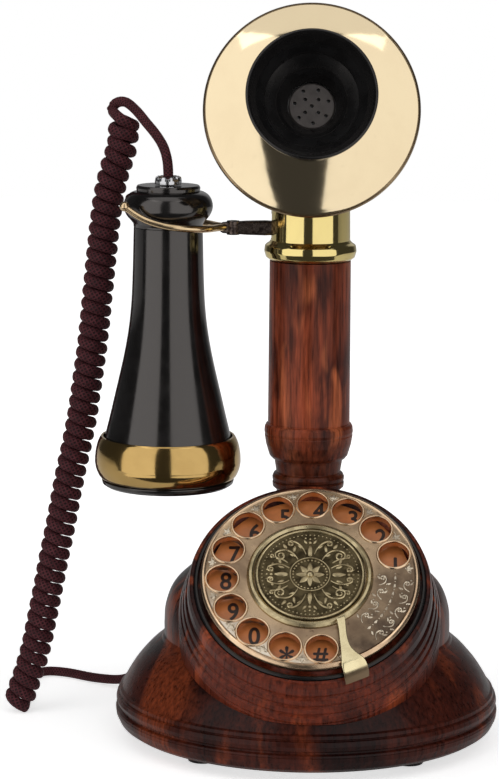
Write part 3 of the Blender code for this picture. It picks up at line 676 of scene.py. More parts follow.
cordRun = {
    "diameter": 0.0044, "pressed": 1.20, "coilRadius": 0.0049, "turns": 48.5,
    "pointsPerTurn": 18, "sides": 16,
    # centre line points in metres from the column's foot
    "upper": [(-0.0626, 0, 0.2400), (-0.0626, 0.0002, 0.2500), (-0.0632, 0.0015, 0.2570),
              (-0.0652, 0.0045, 0.2628), (-0.0688, 0.0088, 0.2678), (-0.0730, 0.0136, 0.2722),
              (-0.0778, 0.0190, 0.2772), (-0.0828, 0.0242, 0.2806), (-0.0872, 0.0286, 0.2800),
              (-0.0893, 0.0296, 0.2774), (-0.0893, 0.0272, 0.2756)],
    "coil": [(-0.0828, 0.025, 0.2738), (-0.0838, 0.025, 0.2690), (-0.0846, 0.025, 0.2610),
             (-0.0886, 0.025, 0.2475),
             (-0.0913, 0.025, 0.2343), (-0.0936, 0.025, 0.2148), (-0.0956, 0.025, 0.1955),
             (-0.0979, 0.025, 0.1732), (-0.1005, 0.025, 0.1545), (-0.1030, 0.025, 0.1376),
             (-0.1060, 0.025, 0.1225), (-0.1089, 0.025, 0.1092), (-0.1129, 0.025, 0.0878),
             (-0.1160, 0.025, 0.0728), (-0.1188, 0.025, 0.0582), (-0.1217, 0.025, 0.0438),
             (-0.1246, 0.025, 0.0300), (-0.1278, 0.025, 0.0189), (-0.1316, 0.025, 0.0080),
             (-0.1334, 0.025, 0.0036)],
    "lower": [(-0.1300, 0.0340, 0.0030), (-0.1312, 0.0450, 0.0026), (-0.1340, 0.0600, 0.0024),
              (-0.1322, 0.0760, 0.0024),
              (-0.1260, 0.0860, 0.0024), (-0.1155, 0.0844, 0.0024), (-0.1015, 0.0752, 0.0025),
              (-0.0886, 0.0659, 0.0043), (-0.0788, 0.0590, 0.0088), (-0.0709, 0.0534, 0.0109),
              (-0.0639, 0.0481, 0.0110), (-0.0559, 0.0421, 0.0110)],
}


def cordPath():
    # The coil is a helix round its centre line A: A + R (cos p N - sin p Y), where N is the
    # centre line's normal in its own plane; R eases in and out over the first and last turn.
    line = spacedAlong(throughPoints(cordRun["coil"], 40), 0.0002)
    phase = np.linspace(0, 2 * pi * cordRun["turns"],
                        int(cordRun["turns"] * cordRun["pointsPerTurn"]) + 1)
    at = np.linspace(0, len(line) - 1, len(phase))
    centre = np.stack([np.interp(at, np.arange(len(line)), line[:, k]) for k in range(3)], axis=1)
    along = np.gradient(centre, axis=0)
    along /= np.linalg.norm(along, axis=1)[:, None]
    across = np.cross(np.array((0.0, 1.0, 0.0)), along)
    ease = np.minimum(1.0, 0.84 + 0.16 * np.minimum(phase, phase[-1] - phase) / (0.75 * 2 * pi))
    turn = (across * np.cos(phase)[:, None]
            - np.array((0.0, 1.0, 0.0)) * np.sin(phase)[:, None])
    helix = centre + cordRun["coilRadius"] * ease[:, None] * turn
    floorLevel = cordRun["diameter"] / 2 + 0.0001
    helix[:, 2] = np.maximum(helix[:, 2], floorLevel)
    joined = np.concatenate([
        spacedAlong(throughPoints(cordRun["upper"], 12), 0.0022)[:-1],
        helix[3:-1],
        spacedAlong(throughPoints(cordRun["lower"], 12), 0.0028)[1:]])
    return spacedAlong(throughPoints(joined, 3), 0.0018) + columnAxis["origin"]


def makeCord():
    # The braided tube along the path; its UV is (part of a turn round, metres along).
    path = cordPath()
    lengths = np.concatenate([[0], np.cumsum(np.linalg.norm(np.diff(path, axis=0), axis=1))])
    # the tube's cross axes lean towards Y where the cord stands up, and towards Z elsewhere
    lean = np.clip(lengths / 0.035, 0, 1)[:, None]
    reference = (1 - lean) * np.array((0.0, -1.0, 0.0)) + lean * np.array((0.0, 0.0, 1.0))
    sides = cordRun["sides"]
    # in the coil each turn is pressed against its neighbours and stands a little taller
    inCoil = np.clip(np.minimum(lengths - 0.055, lengths[-1] - 0.135 - lengths) / 0.02, 0, 1)
    pressed = (1 + (cordRun["pressed"] - 1) * inCoil)[:, None, None]
    rings, quads = tubeShape(path, cordRun["diameter"] / 2, sides, reference, pressed)
    row, side = np.divmod(quads[:, 0], sides)
    runLengths = np.concatenate([[0], lengths, [lengths[-1]]])
    v0, v1 = runLengths[row], runLengths[np.minimum(row + 1, len(runLengths) - 1)]
    u0, u1 = side / sides, (side + 1) / sides
    uv = np.stack([np.stack([u0, v0], 1), np.stack([u1, v0], 1), np.stack([u1, v1], 1),
                   np.stack([u0, v1], 1)], axis=1)
    cord = buildPiece("curly_cord", [(rings, quads)], looks["braid"], None, 60.0, uv)
    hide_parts("cord_coil", "cord_upper", "cord_lower")
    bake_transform(cord)
    print("cord made, metres long:", round(float(lengths[-1]), 3))


makeCord()

# Wooden base, column and dial housing

baseTurning = {
    "dome": [(22.5, 88.0), (34.5, 84.7), (45.0, 79.4), (54.4, 72.7), (60.4, 66.2), (63.4, 58.0),
             (64.0, 50.0)],
    "flare": [(66.4, 42.4), (71.0, 38.4), (76.4, 32.2), (80.2, 26.4), (82.3, 22.4)],
    "foot": [(82.7, 21.6, 0.3), (83.9, 20.9, 0.4), (84.2, 19.5, 0.2), (83.9, 18.9, 0.2),
             (85.0, 18.5, 0.5), (85.5, 16.5, 1.2), (85.0, 14.5, 0.5), (84.2, 14.1, 0.2),
             (84.2, 13.3, 0.2), (85.6, 12.7, 0.4), (85.75, 11.9, 0.1), (85.45, 11.7, 0.1),
             (85.7, 11.5, 0.1), (85.5, 9.6, 1.2), (83.9, 6.2, 2.0), (81.2, 4.4, 1.2),
             (79.0, 3.7, 0.8), (74.6, 3.7, 0.0)],
    "inside": [(74.6, 6.5), (64.0, 6.5), (59.0, 24.0), (56.0, 56.0), (48.0, 66.5),
               (36.0, 73.5), (5.3, 78.6), (5.3, 88.0)],
}


def makeBase():
    # One closed lathe outline, down the outside and up the inside, cut for jack and dial.
    smooth = throughPoints(baseTurning["dome"], 9)
    notch = filleted([(64.0, 50.0), (63.9, 45.4, 0.6), (64.6, 44.6, 0.5), (65.2, 43.4, 0.5),
                      (66.4, 42.4)])[1:-1]
    flare = throughPoints(baseTurning["flare"], 8)
    foot = filleted([(82.3, 22.4)] + baseTurning["foot"], 4)[1:]
    profile = np.concatenate([smooth, notch, flare, foot, baseTurning["inside"]])
    base = turnedPiece("turned_base", columnAxis, profile, looks["baseWood"], "base", 216)
    cutWith(base, [boxShape(columnAxis, (-7.5, 60.0, 6.5), (7.5, 100.0, 17.5))])
    opening = np.array([(0, 0.0), (27.0, 0.0), (27.0, -44.0), (0, -44.0)])
    cutWith(base, [turnedShape(dialAxis, opening, 64, False)])
    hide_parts("base_shell")


columnTurning = [
    (5.3, 213.4), (17.9, 213.4, 0.2), (18.15, 141.6, 0.3), (18.0, 141.0, 0.2),
    (18.9, 140.6, 0.3), (19.5, 139.4, 0.5), (19.7, 137.4, 0.8), (19.4, 136.0, 0.3),
    (19.55, 135.6, 0.2), (18.9, 131.6, 2.0), (17.4, 126.6, 0.8), (16.2, 125.2, 0.5),
    (15.3, 125.0, 0.3), (15.0, 123.8, 0.4), (14.2, 119.0, 0.3), (15.3, 118.4, 0.4),
    (16.0, 116.9, 0.8), (15.9, 115.5, 0.3), (15.3, 115.0, 0.2), (15.95, 114.4, 0.3),
    (15.8, 112.4, 0.8), (14.1, 110.9, 0.4), (13.9, 107.0, 3.0), (14.8, 100.0, 5.0),
    (17.6, 94.0, 4.0), (21.8, 89.8, 0.9), (21.8, 88.3, 0.2), (5.3, 88.3),
]

housingTurning = [
    (44.3, -6.7), (49.9, -6.7), (50.0, -5.2, 0.3), (51.5, -5.3, 0.8), (52.5, -8.4, 1.8),
    (52.9, -12.4, 1.0), (52.4, -14.0, 0.25),
    (53.7, -14.9, 0.7), (54.4, -17.6, 1.1), (53.9, -18.9, 0.25), (54.9, -19.7, 0.7),
    (55.6, -22.4, 1.1), (55.1, -23.7, 0.25), (56.1, -24.5, 0.7), (57.0, -27.4, 1.1),
    (56.6, -28.6, 0.3), (57.1, -29.6, 0.6), (57.1, -52.0), (44.3, -52.0),
]


def makeHousing():
    # A ribbed lathe ring on the dial's axis, cut back to the dome and column behind it.
    housing = turnedPiece("dial_housing_rings", dialAxis, filleted(housingTurning, 4),
                          looks["housingWood"], "base", 216)
    # the same clearances as the joints they rest on: the dome below and the column behind
    dome = throughPoints(baseTurning["dome"], 5) + 0.2
    space = np.concatenate([[(0, 88.2)], dome, [(64.2, 45.0), (86.0, 20.0), (86.0, 3.0), (0, 3.0)]])
    clear = np.array([(0, 125), (16.5, 125), (16.5, 111), (14.8, 110), (14.8, 104), (18.8, 94),
                      (22.8, 90.5), (22.8, 80), (0, 80)])
    cutWith(housing, [turnedShape(columnAxis, space, 160, False)])
    cutWith(housing, [turnedShape(columnAxis, clear, 96, False)])
    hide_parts("dial_housing")


makeBase()
turnedPiece("turned_column", columnAxis, filleted(columnTurning, 4), looks["columnWood"], "base",
            144, replaces=["column"])
makeHousing()
print("wood turned")

# Feet

footTurning = [(1.9, 4.1), (6.9, 4.1, 0.5), (7.0, 1.6, 0.4), (6.2, 0.0, 0.4), (4.1, 0.0, 0.3),
               (4.1, 2.4, 0.1), (1.9, 2.4)]
for end in ("front", "rear"):
    for side in ("left", "right"):
        node = f"foot_{end}_{side}"
        centre = middle(node)
        turnedPiece(f"rubber_{node}", makeAxis((centre.x, centre.y, 0)), filleted(footTurning),
                    looks["rubber"], "base", 48, replaces=[node])

# Dial: gasket, wheel, rims, ring, medallion, numerals and stop

dial = {
    # millimetres from the wheel's own axis, and angles round it
    "holeCircle": 37.6, "holes": 12, "firstHole": radians(17.6), "pitch": radians(23.65),
    "plate": -5.4, "stopAngle": radians(-65.0),
}
holeAngles = dial["firstHole"] + dial["pitch"] * np.arange(dial["holes"])
holeCentres = dial["holeCircle"] * np.stack([np.cos(holeAngles), np.sin(holeAngles)], axis=1)


def makeWheel():
    # A lathe plate drilled with the finger holes, which get rims of their own.
    face = [(3.3, 0.0), (44.6, 0.0, 0.2), (45.0, 0.22, 0.2), (45.9, 0.1, 0.4), (46.6, -0.9, 0.6),
            (46.5, -2.2, 0.4), (46.0, -3.3, 0.3), (44.9, -3.3, 0.2), (44.7, -2.2, 0.2), (3.3, -2.2)]
    wheel = turnedPiece("finger_wheel_plate", dialAxis, filleted(face, 4), looks["bronze"],
                        "finger_wheel", 240)
    drillHoles(wheel, dialAxis, 6.95, -6.0, 3.0, 72, holeCentres)
    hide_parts("finger_wheel")
    # each hole has a raised rim and a rolled lining
    rim = filleted([(6.42, -2.7), (6.42, -0.2, 0.3), (6.62, 0.55, 0.3), (7.25, 0.55, 0.3),
                    (7.6, 0.05, 0.1), (7.2, -0.3), (6.96, -0.6), (6.96, -2.7)], 4)
    rims = buildPiece("hole_rims", [turnedShape(dialAxis, rim, 72, True, centre)
                                    for centre in holeCentres], looks["bronzeEdge"],
                      "finger_wheel")
    edge = filleted([(44.9, 0.12), (45.4, 0.52, 0.25), (46.1, 0.35, 0.3), (46.9, -0.7, 0.5),
                     (46.9, -2.3, 0.5), (46.3, -3.3, 0.2), (45.9, -3.2), (46.0, -1.0)], 4)
    lip = buildPiece("wheel_lip", [turnedShape(dialAxis, edge, 240)], looks["bronzeEdge"],
                     "finger_wheel")


def onDial(points, height):
    # Flat (x, y) in millimetres on the dial to world points at a height over its face.
    points = np.asarray(points, float)
    flat = np.column_stack([points, np.broadcast_to(height, len(points))])
    return world(dialAxis, flat)


def scrollShape(points, width, height, level, taper=0.35):
    # A raised line: a half-sunk flattened tube, thickest in its middle and thin at both ends.
    path = onDial(points, level)
    t = np.linspace(0, 1, len(points))
    radii = width / 2 * (taper + (1 - taper) * np.sin(pi * np.clip(t * 0.94 + 0.03, 0, 1)) ** 0.7)
    return tubeShape(path, radii * mm, 8, dialAxis["ez"], 2 * height / width)


def spiral(centre, startAngle, turns, startRadius, endRadius, count=40):
    # An Archimedean curl: the radius shrinks evenly while the angle runs on.
    t = np.linspace(0, 1, count)
    angle = startAngle + 2 * pi * turns * t
    radius = startRadius + (endRadius - startRadius) * t
    return np.asarray(centre) + np.stack([radius * np.cos(angle), radius * np.sin(angle)], axis=1)


def curlStroke(start, control, end, curlTurns, curlRadius, count=22):
    # A quadratic bend from start to end that runs on into a curl of its own end direction.
    t = np.linspace(0, 1, count)[:, None]
    start, control, end = (np.array(p, float) for p in (start, control, end))
    bend = (1 - t) ** 2 * start + 2 * t * (1 - t) * control + t ** 2 * end
    ahead = end - control
    heading = np.arctan2(ahead[1], ahead[0])
    sign = np.sign(curlTurns)
    centre = end + curlRadius * np.array((-sin(heading), cos(heading))) * sign
    curl = spiral(centre, heading - sign * pi / 2, curlTurns, curlRadius, 0.28 * curlRadius, 26)
    return np.concatenate([bend, curl[1:]])


def leafShape(root, angle, length, width, height, level, rows=13, columns=9):
    # A leaf: width follows sin(pi t) pulled towards the root, and its back is a low arch
    # with a crease along the middle.
    t = np.linspace(0, 1, rows)[:, None]
    s = np.linspace(-1, 1, columns)[None, :]
    half = width / 2 * np.sin(pi * t ** 0.75) ** 0.8
    x, y = length * t + 0 * s, half * s
    arch = height * np.sin(pi * t) ** 0.4 * (1 - s ** 2) ** 0.5 * (0.72 + 0.28 * np.abs(s))
    top = np.stack([x, y, level + arch], axis=2)
    bottom = np.stack([x, y[:, ::-1], np.full_like(x, level - 0.15)], axis=2)
    grid = np.concatenate([top, bottom], axis=1)
    turnedX = root[0] + grid[..., 0] * cos(angle) - grid[..., 1] * sin(angle)
    turnedY = root[1] + grid[..., 0] * sin(angle) + grid[..., 1] * cos(angle)
    return world(dialAxis, np.stack([turnedX, turnedY, grid[..., 2]], axis=2)), gridFaces(
        rows, 2 * columns, False, True)


def beadShape(centre, radius, level, rise=0.7):
    # A low dome: a quarter circle turned about its own middle and closed underneath.
    a = np.linspace(0, pi / 2, 6)
    dome = np.column_stack([radius * np.sin(a), level + rise * radius * np.cos(a)])
    profile = np.concatenate([dome, [(radius, level - 0.12), (0, level - 0.12)]])
    return turnedShape(dialAxis, profile, 16, False, centre)


def alongArc(points, radius, angle):
    # Bends flat (s, t) round the dial: s runs along the arc and t is added to its radius.
    points = np.asarray(points)
    reach, turn = radius + points[:, 1], angle + points[:, 0] / radius
    return np.stack([reach * np.cos(turn), reach * np.sin(turn)], axis=1)


def rosetteShapes(centre, petals, length, width, level):
    # Leaves laid evenly round a centre, with a bead over their roots.
    angles = 2 * pi * np.arange(petals) / petals
    shapes = [leafShape((centre[0] + 0.16 * length * cos(a), centre[1] + 0.16 * length * sin(a)),
                        a, length, width, 0.42, level) for a in angles]
    return shapes + [beadShape(centre, 0.30 * length, level + 0.15)]


def makeMedallion():
    # A lathe disc and ring under raised work: a rosette, beads and four mirrored quarters.
    disc = filleted([(0, 0.95), (21.6, 0.95, 0.1), (21.9, 1.15, 0.1), (23.6, 1.1, 0.2),
                     (23.7, 0.4), (0, 0.4)], 3)
    turnedPiece("medallion_disc", dialAxis, disc, looks["field"], "finger_wheel", 144, False,
                replaces=["medallion"])
    ring = filleted([(23.9, 0.2), (24.0, 1.1, 0.2), (25.0, 1.95, 0.5), (26.1, 1.7, 0.5),
                     (27.0, 0.6, 0.3), (27.1, 0.1), (23.9, 0.1)], 4)
    turnedPiece("medallion_outer_ring", dialAxis, ring, looks["relief"], "finger_wheel", 144,
                replaces=["medallion_ring"])
    innerRing = filleted([(22.1, 1.0), (22.3, 1.6, 0.2), (22.8, 1.75, 0.3), (23.3, 1.5, 0.2),
                          (23.4, 1.0)], 4)
    level = 0.95
    bandRing = filleted([(8.2, 0.9), (8.35, 1.3, 0.1), (8.7, 1.3, 0.1), (8.85, 0.9)], 2)
    shapes = [turnedShape(dialAxis, innerRing, 144), turnedShape(dialAxis, bandRing, 96)]
    # a rosette within a ring of beads; round it the same scrolls and leaves in four quarters
    shapes += rosetteShapes((0, 0), 8, 5.4, 2.7, level)
    shapes += [beadShape((7.3 * cos(a), 7.3 * sin(a)), 0.46, level)
               for a in 2 * pi * np.arange(30) / 30]
    shapes += [beadShape((20.6 * cos(a), 20.6 * sin(a)), 0.36, level)
               for a in 2 * pi * np.arange(72) / 72]
    strokes = [curlStroke((5.2, 7.6), (8.2, 14.0), (13.6, 12.0), -1.35, 2.5),
               curlStroke((8.9, 3.2), (13.4, 6.6), (17.6, 4.0), -1.2, 1.5),
               curlStroke((1.8, 10.4), (3.8, 16.6), (8.0, 17.3), -1.2, 1.35),
               curlStroke((9.6, 6.0), (12.6, 8.6), (16.2, 8.6), 1.0, 0.9)]
    leaves = [((7.0, 11.6), 1.75, 3.6, 1.6), ((10.0, 13.4), 0.9, 3.2, 1.5),
              ((12.6, 5.6), 1.25, 3.2, 1.5), ((11.0, 3.2), 0.35, 3.2, 1.3),
              ((3.0, 13.6), 0.55, 3.0, 1.3), ((6.0, 9.4), 0.35, 3.2, 1.4),
              ((1.4, 16.0), 0.9, 2.8, 1.1), ((15.6, 1.6), 0.25, 3.6, 1.4)]
    for x in (1, -1):
        for y in (1, -1):
            shapes += [scrollShape(stroke * np.array((x, y)), 1.05, 0.5, level + 0.05)
                       for stroke in strokes]
            shapes += [leafShape((x * px, y * py), np.arctan2(y * sin(a), x * cos(a)),
                                 length, width, 0.5, level)
                       for (px, py), a, length, width in leaves]
            shapes += [beadShape((x * px, y * py), r, level)
                       for px, py, r in ((11.4, 10.0, 0.7), (16.0, 5.4, 0.6), (2.0, 18.9, 0.5))]
    for a in pi / 2 * np.arange(4):
        tip = np.array((cos(a), sin(a)))
        shapes += [leafShape(9.2 * tip, a, 6.4, 2.6, 0.6, level),
                   beadShape(16.6 * tip, 0.75, level), beadShape(18.5 * tip, 0.5, level)]
    relief = buildPiece("medallion_relief", shapes, looks["relief"], "finger_wheel", 50.0)


def makeWheelOrnament():
    # a little three-leaved sprig at the rim in every gap between holes, both ends included
    shapes = []
    level = 0.0
    gaps = dial["firstHole"] + dial["pitch"] * (np.arange(dial["holes"] + 1) - 0.5)
    for angle in gaps:
        root = 41.6 * np.array((cos(angle), sin(angle)))
        outward = np.array((cos(angle), sin(angle)))
        across = np.array((-sin(angle), cos(angle)))
        shapes.append(leafShape(root, angle, 3.0, 1.5, 0.32, level))
        for side in (-1, 1):
            shapes.append(leafShape(root, angle + 0.75 * side, 2.6, 1.2, 0.28, level))
            curl = curlStroke(root - 0.4 * outward, root + 1.4 * side * across,
                              root + 0.9 * outward + 2.4 * side * across, -0.9 * side, 0.5)
            shapes.append(scrollShape(curl, 0.42, 0.24, level))
        shapes.append(beadShape(root - 0.5 * outward, 0.5, level))
    # running scrolls on the blank segment between the stop and the first hole
    unit = curlStroke((0.0, -1.5), (1.6, 2.4), (4.4, 1.0), -1.25, 1.15)
    for radius, count, first in ((31.2, 4, -47.0), (41.6, 5, -49.0)):
        for i in range(count):
            flip = 1 if i % 2 else -1
            start = radians(first) + i * 7.0 / radius
            path = alongArc(unit * np.array((1, flip)), radius, start)
            shapes.append(scrollShape(path, 0.85, 0.36, level))
            for s0, t0, turn in ((0.6, 1.4 * flip, 1.2 * flip), (3.2, -1.2 * flip, -0.7 * flip)):
                root = alongArc(np.array([(s0, t0)]), radius, start)[0]
                heading = np.arctan2(root[1], root[0]) + pi / 2 - turn
                shapes.append(leafShape(root, heading, 2.5, 1.1, 0.34, level))
            shapes.append(beadShape(alongArc(np.array([(5.6, -1.6 * flip)]), radius, start)[0],
                                    0.5, level))
    # a row of lozenges and beads runs between the two scrolls
    for i in range(8):
        start = radians(-46.0) + i * 4.1 / 36.4
        root = alongArc(np.array([(-1.2, 0.0)]), 36.4, start)[0]
        shapes.append(leafShape(root, start + pi / 2, 2.4, 1.3, 0.36, level))
        shapes.append(beadShape(alongArc(np.array([(2.05, 0.0)]), 36.4, start)[0], 0.36, level))
    ornament = buildPiece("wheel_ornament", shapes, looks["silverRelief"], "finger_wheel", 50.0)


numerals = {
    "signs": "1234567890*#", "size": 12.2, "narrowed": 0.84, "heavier": 0.22, "rise": 0.06,
    "shift": (1.5, 0.5), "turn": radians(-1.8),
    # millimetres that a sign stands off its place on the circle, and its relative size
    "nudge": {"1": (-1.0, -1.3, 1.0), "5": (0.4, -1.3, 1.0), "6": (0.6, -1.2, 1.0),
              "7": (0.6, -0.4, 1.0), "8": (0.0, 0.8, 1.0), "*": (0.4, -1.4, 1.45),
              "#": (-0.6, -0.8, 1.0)},
}


def makeNumerals():
    # Each sign is set as text, squeezed sideways and laid on the circle of the holes.
    shapes = []
    turned = holeAngles + numerals["turn"]
    centres = dial["holeCircle"] * np.stack([np.cos(turned), np.sin(turned)], axis=1)
    for sign, centre in zip(numerals["signs"], centres):
        text = bpy.data.curves.new("numeral", "FONT")
        text.body, text.size = sign, numerals["size"]
        text.align_x, text.align_y = "CENTER", "CENTER"
        text.extrude = numerals["rise"]
        drawn = bpy.data.objects.new("numeral", text)
        bpy.context.scene.collection.objects.link(drawn)
        bpy.context.view_layer.update()
        graph = bpy.context.evaluated_depsgraph_get()
        mesh = bpy.data.meshes.new_from_object(drawn.evaluated_get(graph))
        flat = np.empty(len(mesh.vertices) * 3)
        mesh.vertices.foreach_get("co", flat)
        flat = flat.reshape(-1, 3)
        flat[:, :2] -= (flat[:, :2].min(axis=0) + flat[:, :2].max(axis=0)) / 2
        x, y, larger = numerals["nudge"].get(sign, (0.0, 0.0, 1.0))
        flat[:, :2] *= np.array((numerals["narrowed"], 1.0)) * larger
        flat[:, :2] += centre + np.array(numerals["shift"]) + (x, y)
        flat[:, 2] += dial["plate"] + numerals["rise"] * 0.6
        # copies shifted a little to each side make the strokes heavier
        for i, (x, y) in enumerate([(0, 0), (1, 0), (-1, 0), (0, 1), (0, -1)]):
            shifted = mesh.copy()
            place = flat + np.array((x, y, 0)) * numerals["heavier"] + (0, 0, 0.004 * i)
            shifted.vertices.foreach_set("co", world(dialAxis, place).ravel())
            shapes.append(shifted)
        bpy.data.meshes.remove(mesh)
        bpy.data.objects.remove(drawn)
    joined = bmesh.new()
    for mesh in shapes:
        joined.from_mesh(mesh)
        bpy.data.meshes.remove(mesh)
    mesh = bpy.data.meshes.new("dial_numerals")
    joined.to_mesh(mesh)
    joined.free()
    mesh.materials.clear()
    mesh.materials.append(looks["ink"])
    piece = bpy.data.objects.new("dial_numerals", mesh)
    bpy.context.scene.collection.objects.link(piece)
    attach(piece, "base")


def makeStop():
    # The stop is a strip from the medallion out over the rim: stations of distance, sideways
    # shift, height and half width are smoothed along it, and a rounded section goes round them.
    stations = np.array([(26.3, 1.9, 2.75, 2.0), (27.5, 1.7, 2.9, 1.95), (31.0, 0.6, 2.9, 1.75),
                         (36.0, -1.2, 2.9, 1.75), (41.0, -2.5, 2.85, 2.2), (45.0, -2.8, 2.7, 3.5),
                         (48.2, -2.6, 2.4, 5.0), (50.4, -2.5, 1.4, 5.4), (51.8, -2.5, -0.7, 5.5),
                         (52.6, -2.5, -2.8, 5.5), (53.1, -2.5, -4.9, 5.4)])
    line = np.column_stack([throughPoints(stations[:, [0, 2, 3]], 8),
                            throughPoints(stations[:, [1, 1, 1]], 8)[:, 0]])
    thick, sides = 0.45, 24
    v = np.linspace(0, 2 * pi, sides, endpoint=False)
    across, through = squared(np.cos(v), 0.25), squared(np.sin(v), 0.55)
    ahead = np.gradient(line[:, :2], axis=0)
    ahead /= np.linalg.norm(ahead, axis=1)[:, None]
    normal = np.column_stack([-ahead[:, 1], ahead[:, 0]])
    half = line[:, 2][:, None] * across
    r = line[:, 0][:, None] + thick * normal[:, :1] * through
    z = line[:, 1][:, None] + thick * normal[:, 1:] * through
    y = half + line[:, 3][:, None]
    a = dial["stopAngle"]
    local = np.stack([r * cos(a) - y * sin(a), r * sin(a) + y * cos(a), z], axis=2)
    local = closedEnds(local)
    stop = buildPiece("finger_stop_strip", [(world(dialAxis, local),
                                             gridFaces(len(local), sides, False, True))],
                      looks["stopBrass"], "base", 50.0)
    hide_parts("finger_stop")


makeWheel()
makeMedallion()
makeWheelOrnament()
makeNumerals()
makeStop()
gasket = filleted([(48.0, -4.8), (48.2, -4.2, 0.3), (49.2, -4.1, 0.5), (49.8, -4.9, 0.4),
                   (49.8, -6.3, 0.2), (48.0, -6.3)], 5)
turnedPiece("dial_gasket_ring", dialAxis, gasket, looks["rubber"], "base", 216,
            replaces=["dial_gasket"])
plate = filleted([(3.8, -5.4), (43.6, -5.4, 0.2), (43.9, -6.6), (3.8, -6.6)], 3)
turnedPiece("numeral_plate", dialAxis, plate, looks["enamel"], "base", 144,
            replaces=["number_plate"])
print("dial made")

# Brass collar and lug

collarTurning = [(15.5, 236.0), (17.3, 236.0, 0.3), (17.5, 222.4, 0.25), (18.3, 221.4, 0.4),
                 (20.0, 220.3, 1.4), (20.35, 217.6, 2.2), (19.6, 215.0, 1.2), (18.1, 213.9, 0.3),
                 (15.5, 213.9)]
collar = turnedPiece("collar_sleeve", columnAxis, filleted(collarTurning, 5),
                     looks["collarBrass"], "base", 144)
cutWith(collar, [boxShape(columnAxis, (-25.0, -3.0, 222.9), (-11.5, 3.0, 234.0))])
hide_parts("collar")

# Receiver

receiverTurning = {
    "shell": [(15.2, 227.4), (15.4, 219.0), (15.6, 210.0), (15.9, 201.0), (16.35, 193.0),
              (17.15, 185.0), (18.35, 177.0), (19.9, 169.0), (21.8, 160.5), (23.8, 152.0),
              (25.9, 143.0), (28.25, 133.4)],
    "shellInside": [(28.35, 121.0), (25.8, 121.0), (25.8, 131.0), (17.4, 168.0), (13.4, 190.0),
                    (12.6, 227.4)],
    "capTop": [(2.7, 246.0), (13.6, 246.0, 0.6), (14.1, 244.9, 0.4), (13.9, 243.4)],
    "capBulge": [(13.9, 243.4), (15.7, 243.0), (17.6, 241.8), (19.0, 239.8), (19.6, 237.4),
                 (19.35, 235.0), (18.2, 232.6), (16.5, 230.6), (15.4, 229.2)],
    "capInside": [(15.2, 227.7), (12.2, 227.7), (12.2, 223.0), (2.7, 223.0)],
    "bandUpper": [(29.7, 134.5), (30.4, 133.5), (31.3, 131.4), (32.0, 128.6), (32.4, 125.6),
                  (32.5, 122.8)],
    "bandLower": [(32.4, 122.3), (32.15, 120.6), (31.5, 118.6), (30.6, 116.8), (29.6, 115.8)],
    "ear": [(3.0, 117.8), (24.4, 117.8), (24.4, 120.7), (28.4, 120.7), (28.5, 115.4, 0.1),
            (29.5, 115.0, 0.4), (29.2, 113.4, 0.8), (27.4, 112.2, 0.8), (21.5, 112.2, 1.5),
            (13.0, 114.6, 2.0), (3.0, 115.6)],
}
bell = throughPoints(receiverTurning["shell"], 6)
turnedPiece("receiver_bell", receiverAxis, np.concatenate([bell, receiverTurning["shellInside"]]),
            looks["blackGloss"], "receiver", 144, replaces=["receiver_shell"])
bulge = throughPoints(receiverTurning["capBulge"], 5)
turnedPiece("receiver_top", receiverAxis,
            np.concatenate([filleted(receiverTurning["capTop"], 6)[:-1], bulge,
                            receiverTurning["capInside"]]),
            looks["blackGloss"], "receiver", 144, replaces=["receiver_cap"])
upper, lower = (throughPoints(receiverTurning[part], 6)
                for part in ("bandUpper", "bandLower"))
turnedPiece("receiver_waist", receiverAxis,
            np.concatenate([[(28.8, 134.5)], upper, lower, [(28.8, 115.7)]]),
            looks["bandBrass"], "receiver", 144, replaces=["receiver_band"])


def makeEarpiece():
    # A lathe cap with two circles of sound holes.
    cap = turnedPiece("earpiece_dish", receiverAxis, filleted(receiverTurning["ear"], 5),
                      looks["blackGloss"], "receiver", 144)
    drillHoles(cap, receiverAxis, 0.8, 119.0, 112.0, 20,
               onCircles([(6.0, 6, 0.0), (10.5, 12, 0.2)]))
    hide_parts("earpiece_cap")


def makeTerminalRing():
    # A turned nut whose upper edge rises and falls: z gains 0.75 (1 + tanh(4 sin 9u)) / 2 on
    # the points over its middle, so that the edge is cut into nine blocks.
    profile = filleted([(2.7, 249.2), (4.6, 249.3, 0.2), (5.6, 248.8, 0.3), (5.9, 247.8, 0.3),
                        (5.9, 246.4, 0.1), (2.7, 246.3)], 3)
    steps = 216
    u = np.linspace(0, 2 * pi, steps, endpoint=False)
    r, z = profile[:, :1], profile[:, 1:]
    lift = np.clip((z - 247.4) / 1.4, 0, 1) * 0.75 * (1 + np.tanh(4 * np.sin(9 * u))) / 2
    local = np.stack([r * np.cos(u), r * np.sin(u), z + lift], axis=2)
    ring = buildPiece("crown_nut", [(world(receiverAxis, local),
                                     gridFaces(len(profile), steps, True, True))],
                      looks["chrome"], "receiver")
    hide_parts("terminal_ring")


makeEarpiece()
makeTerminalRing()
print("receiver made")

# Head: face, mouthpiece, grille and cup

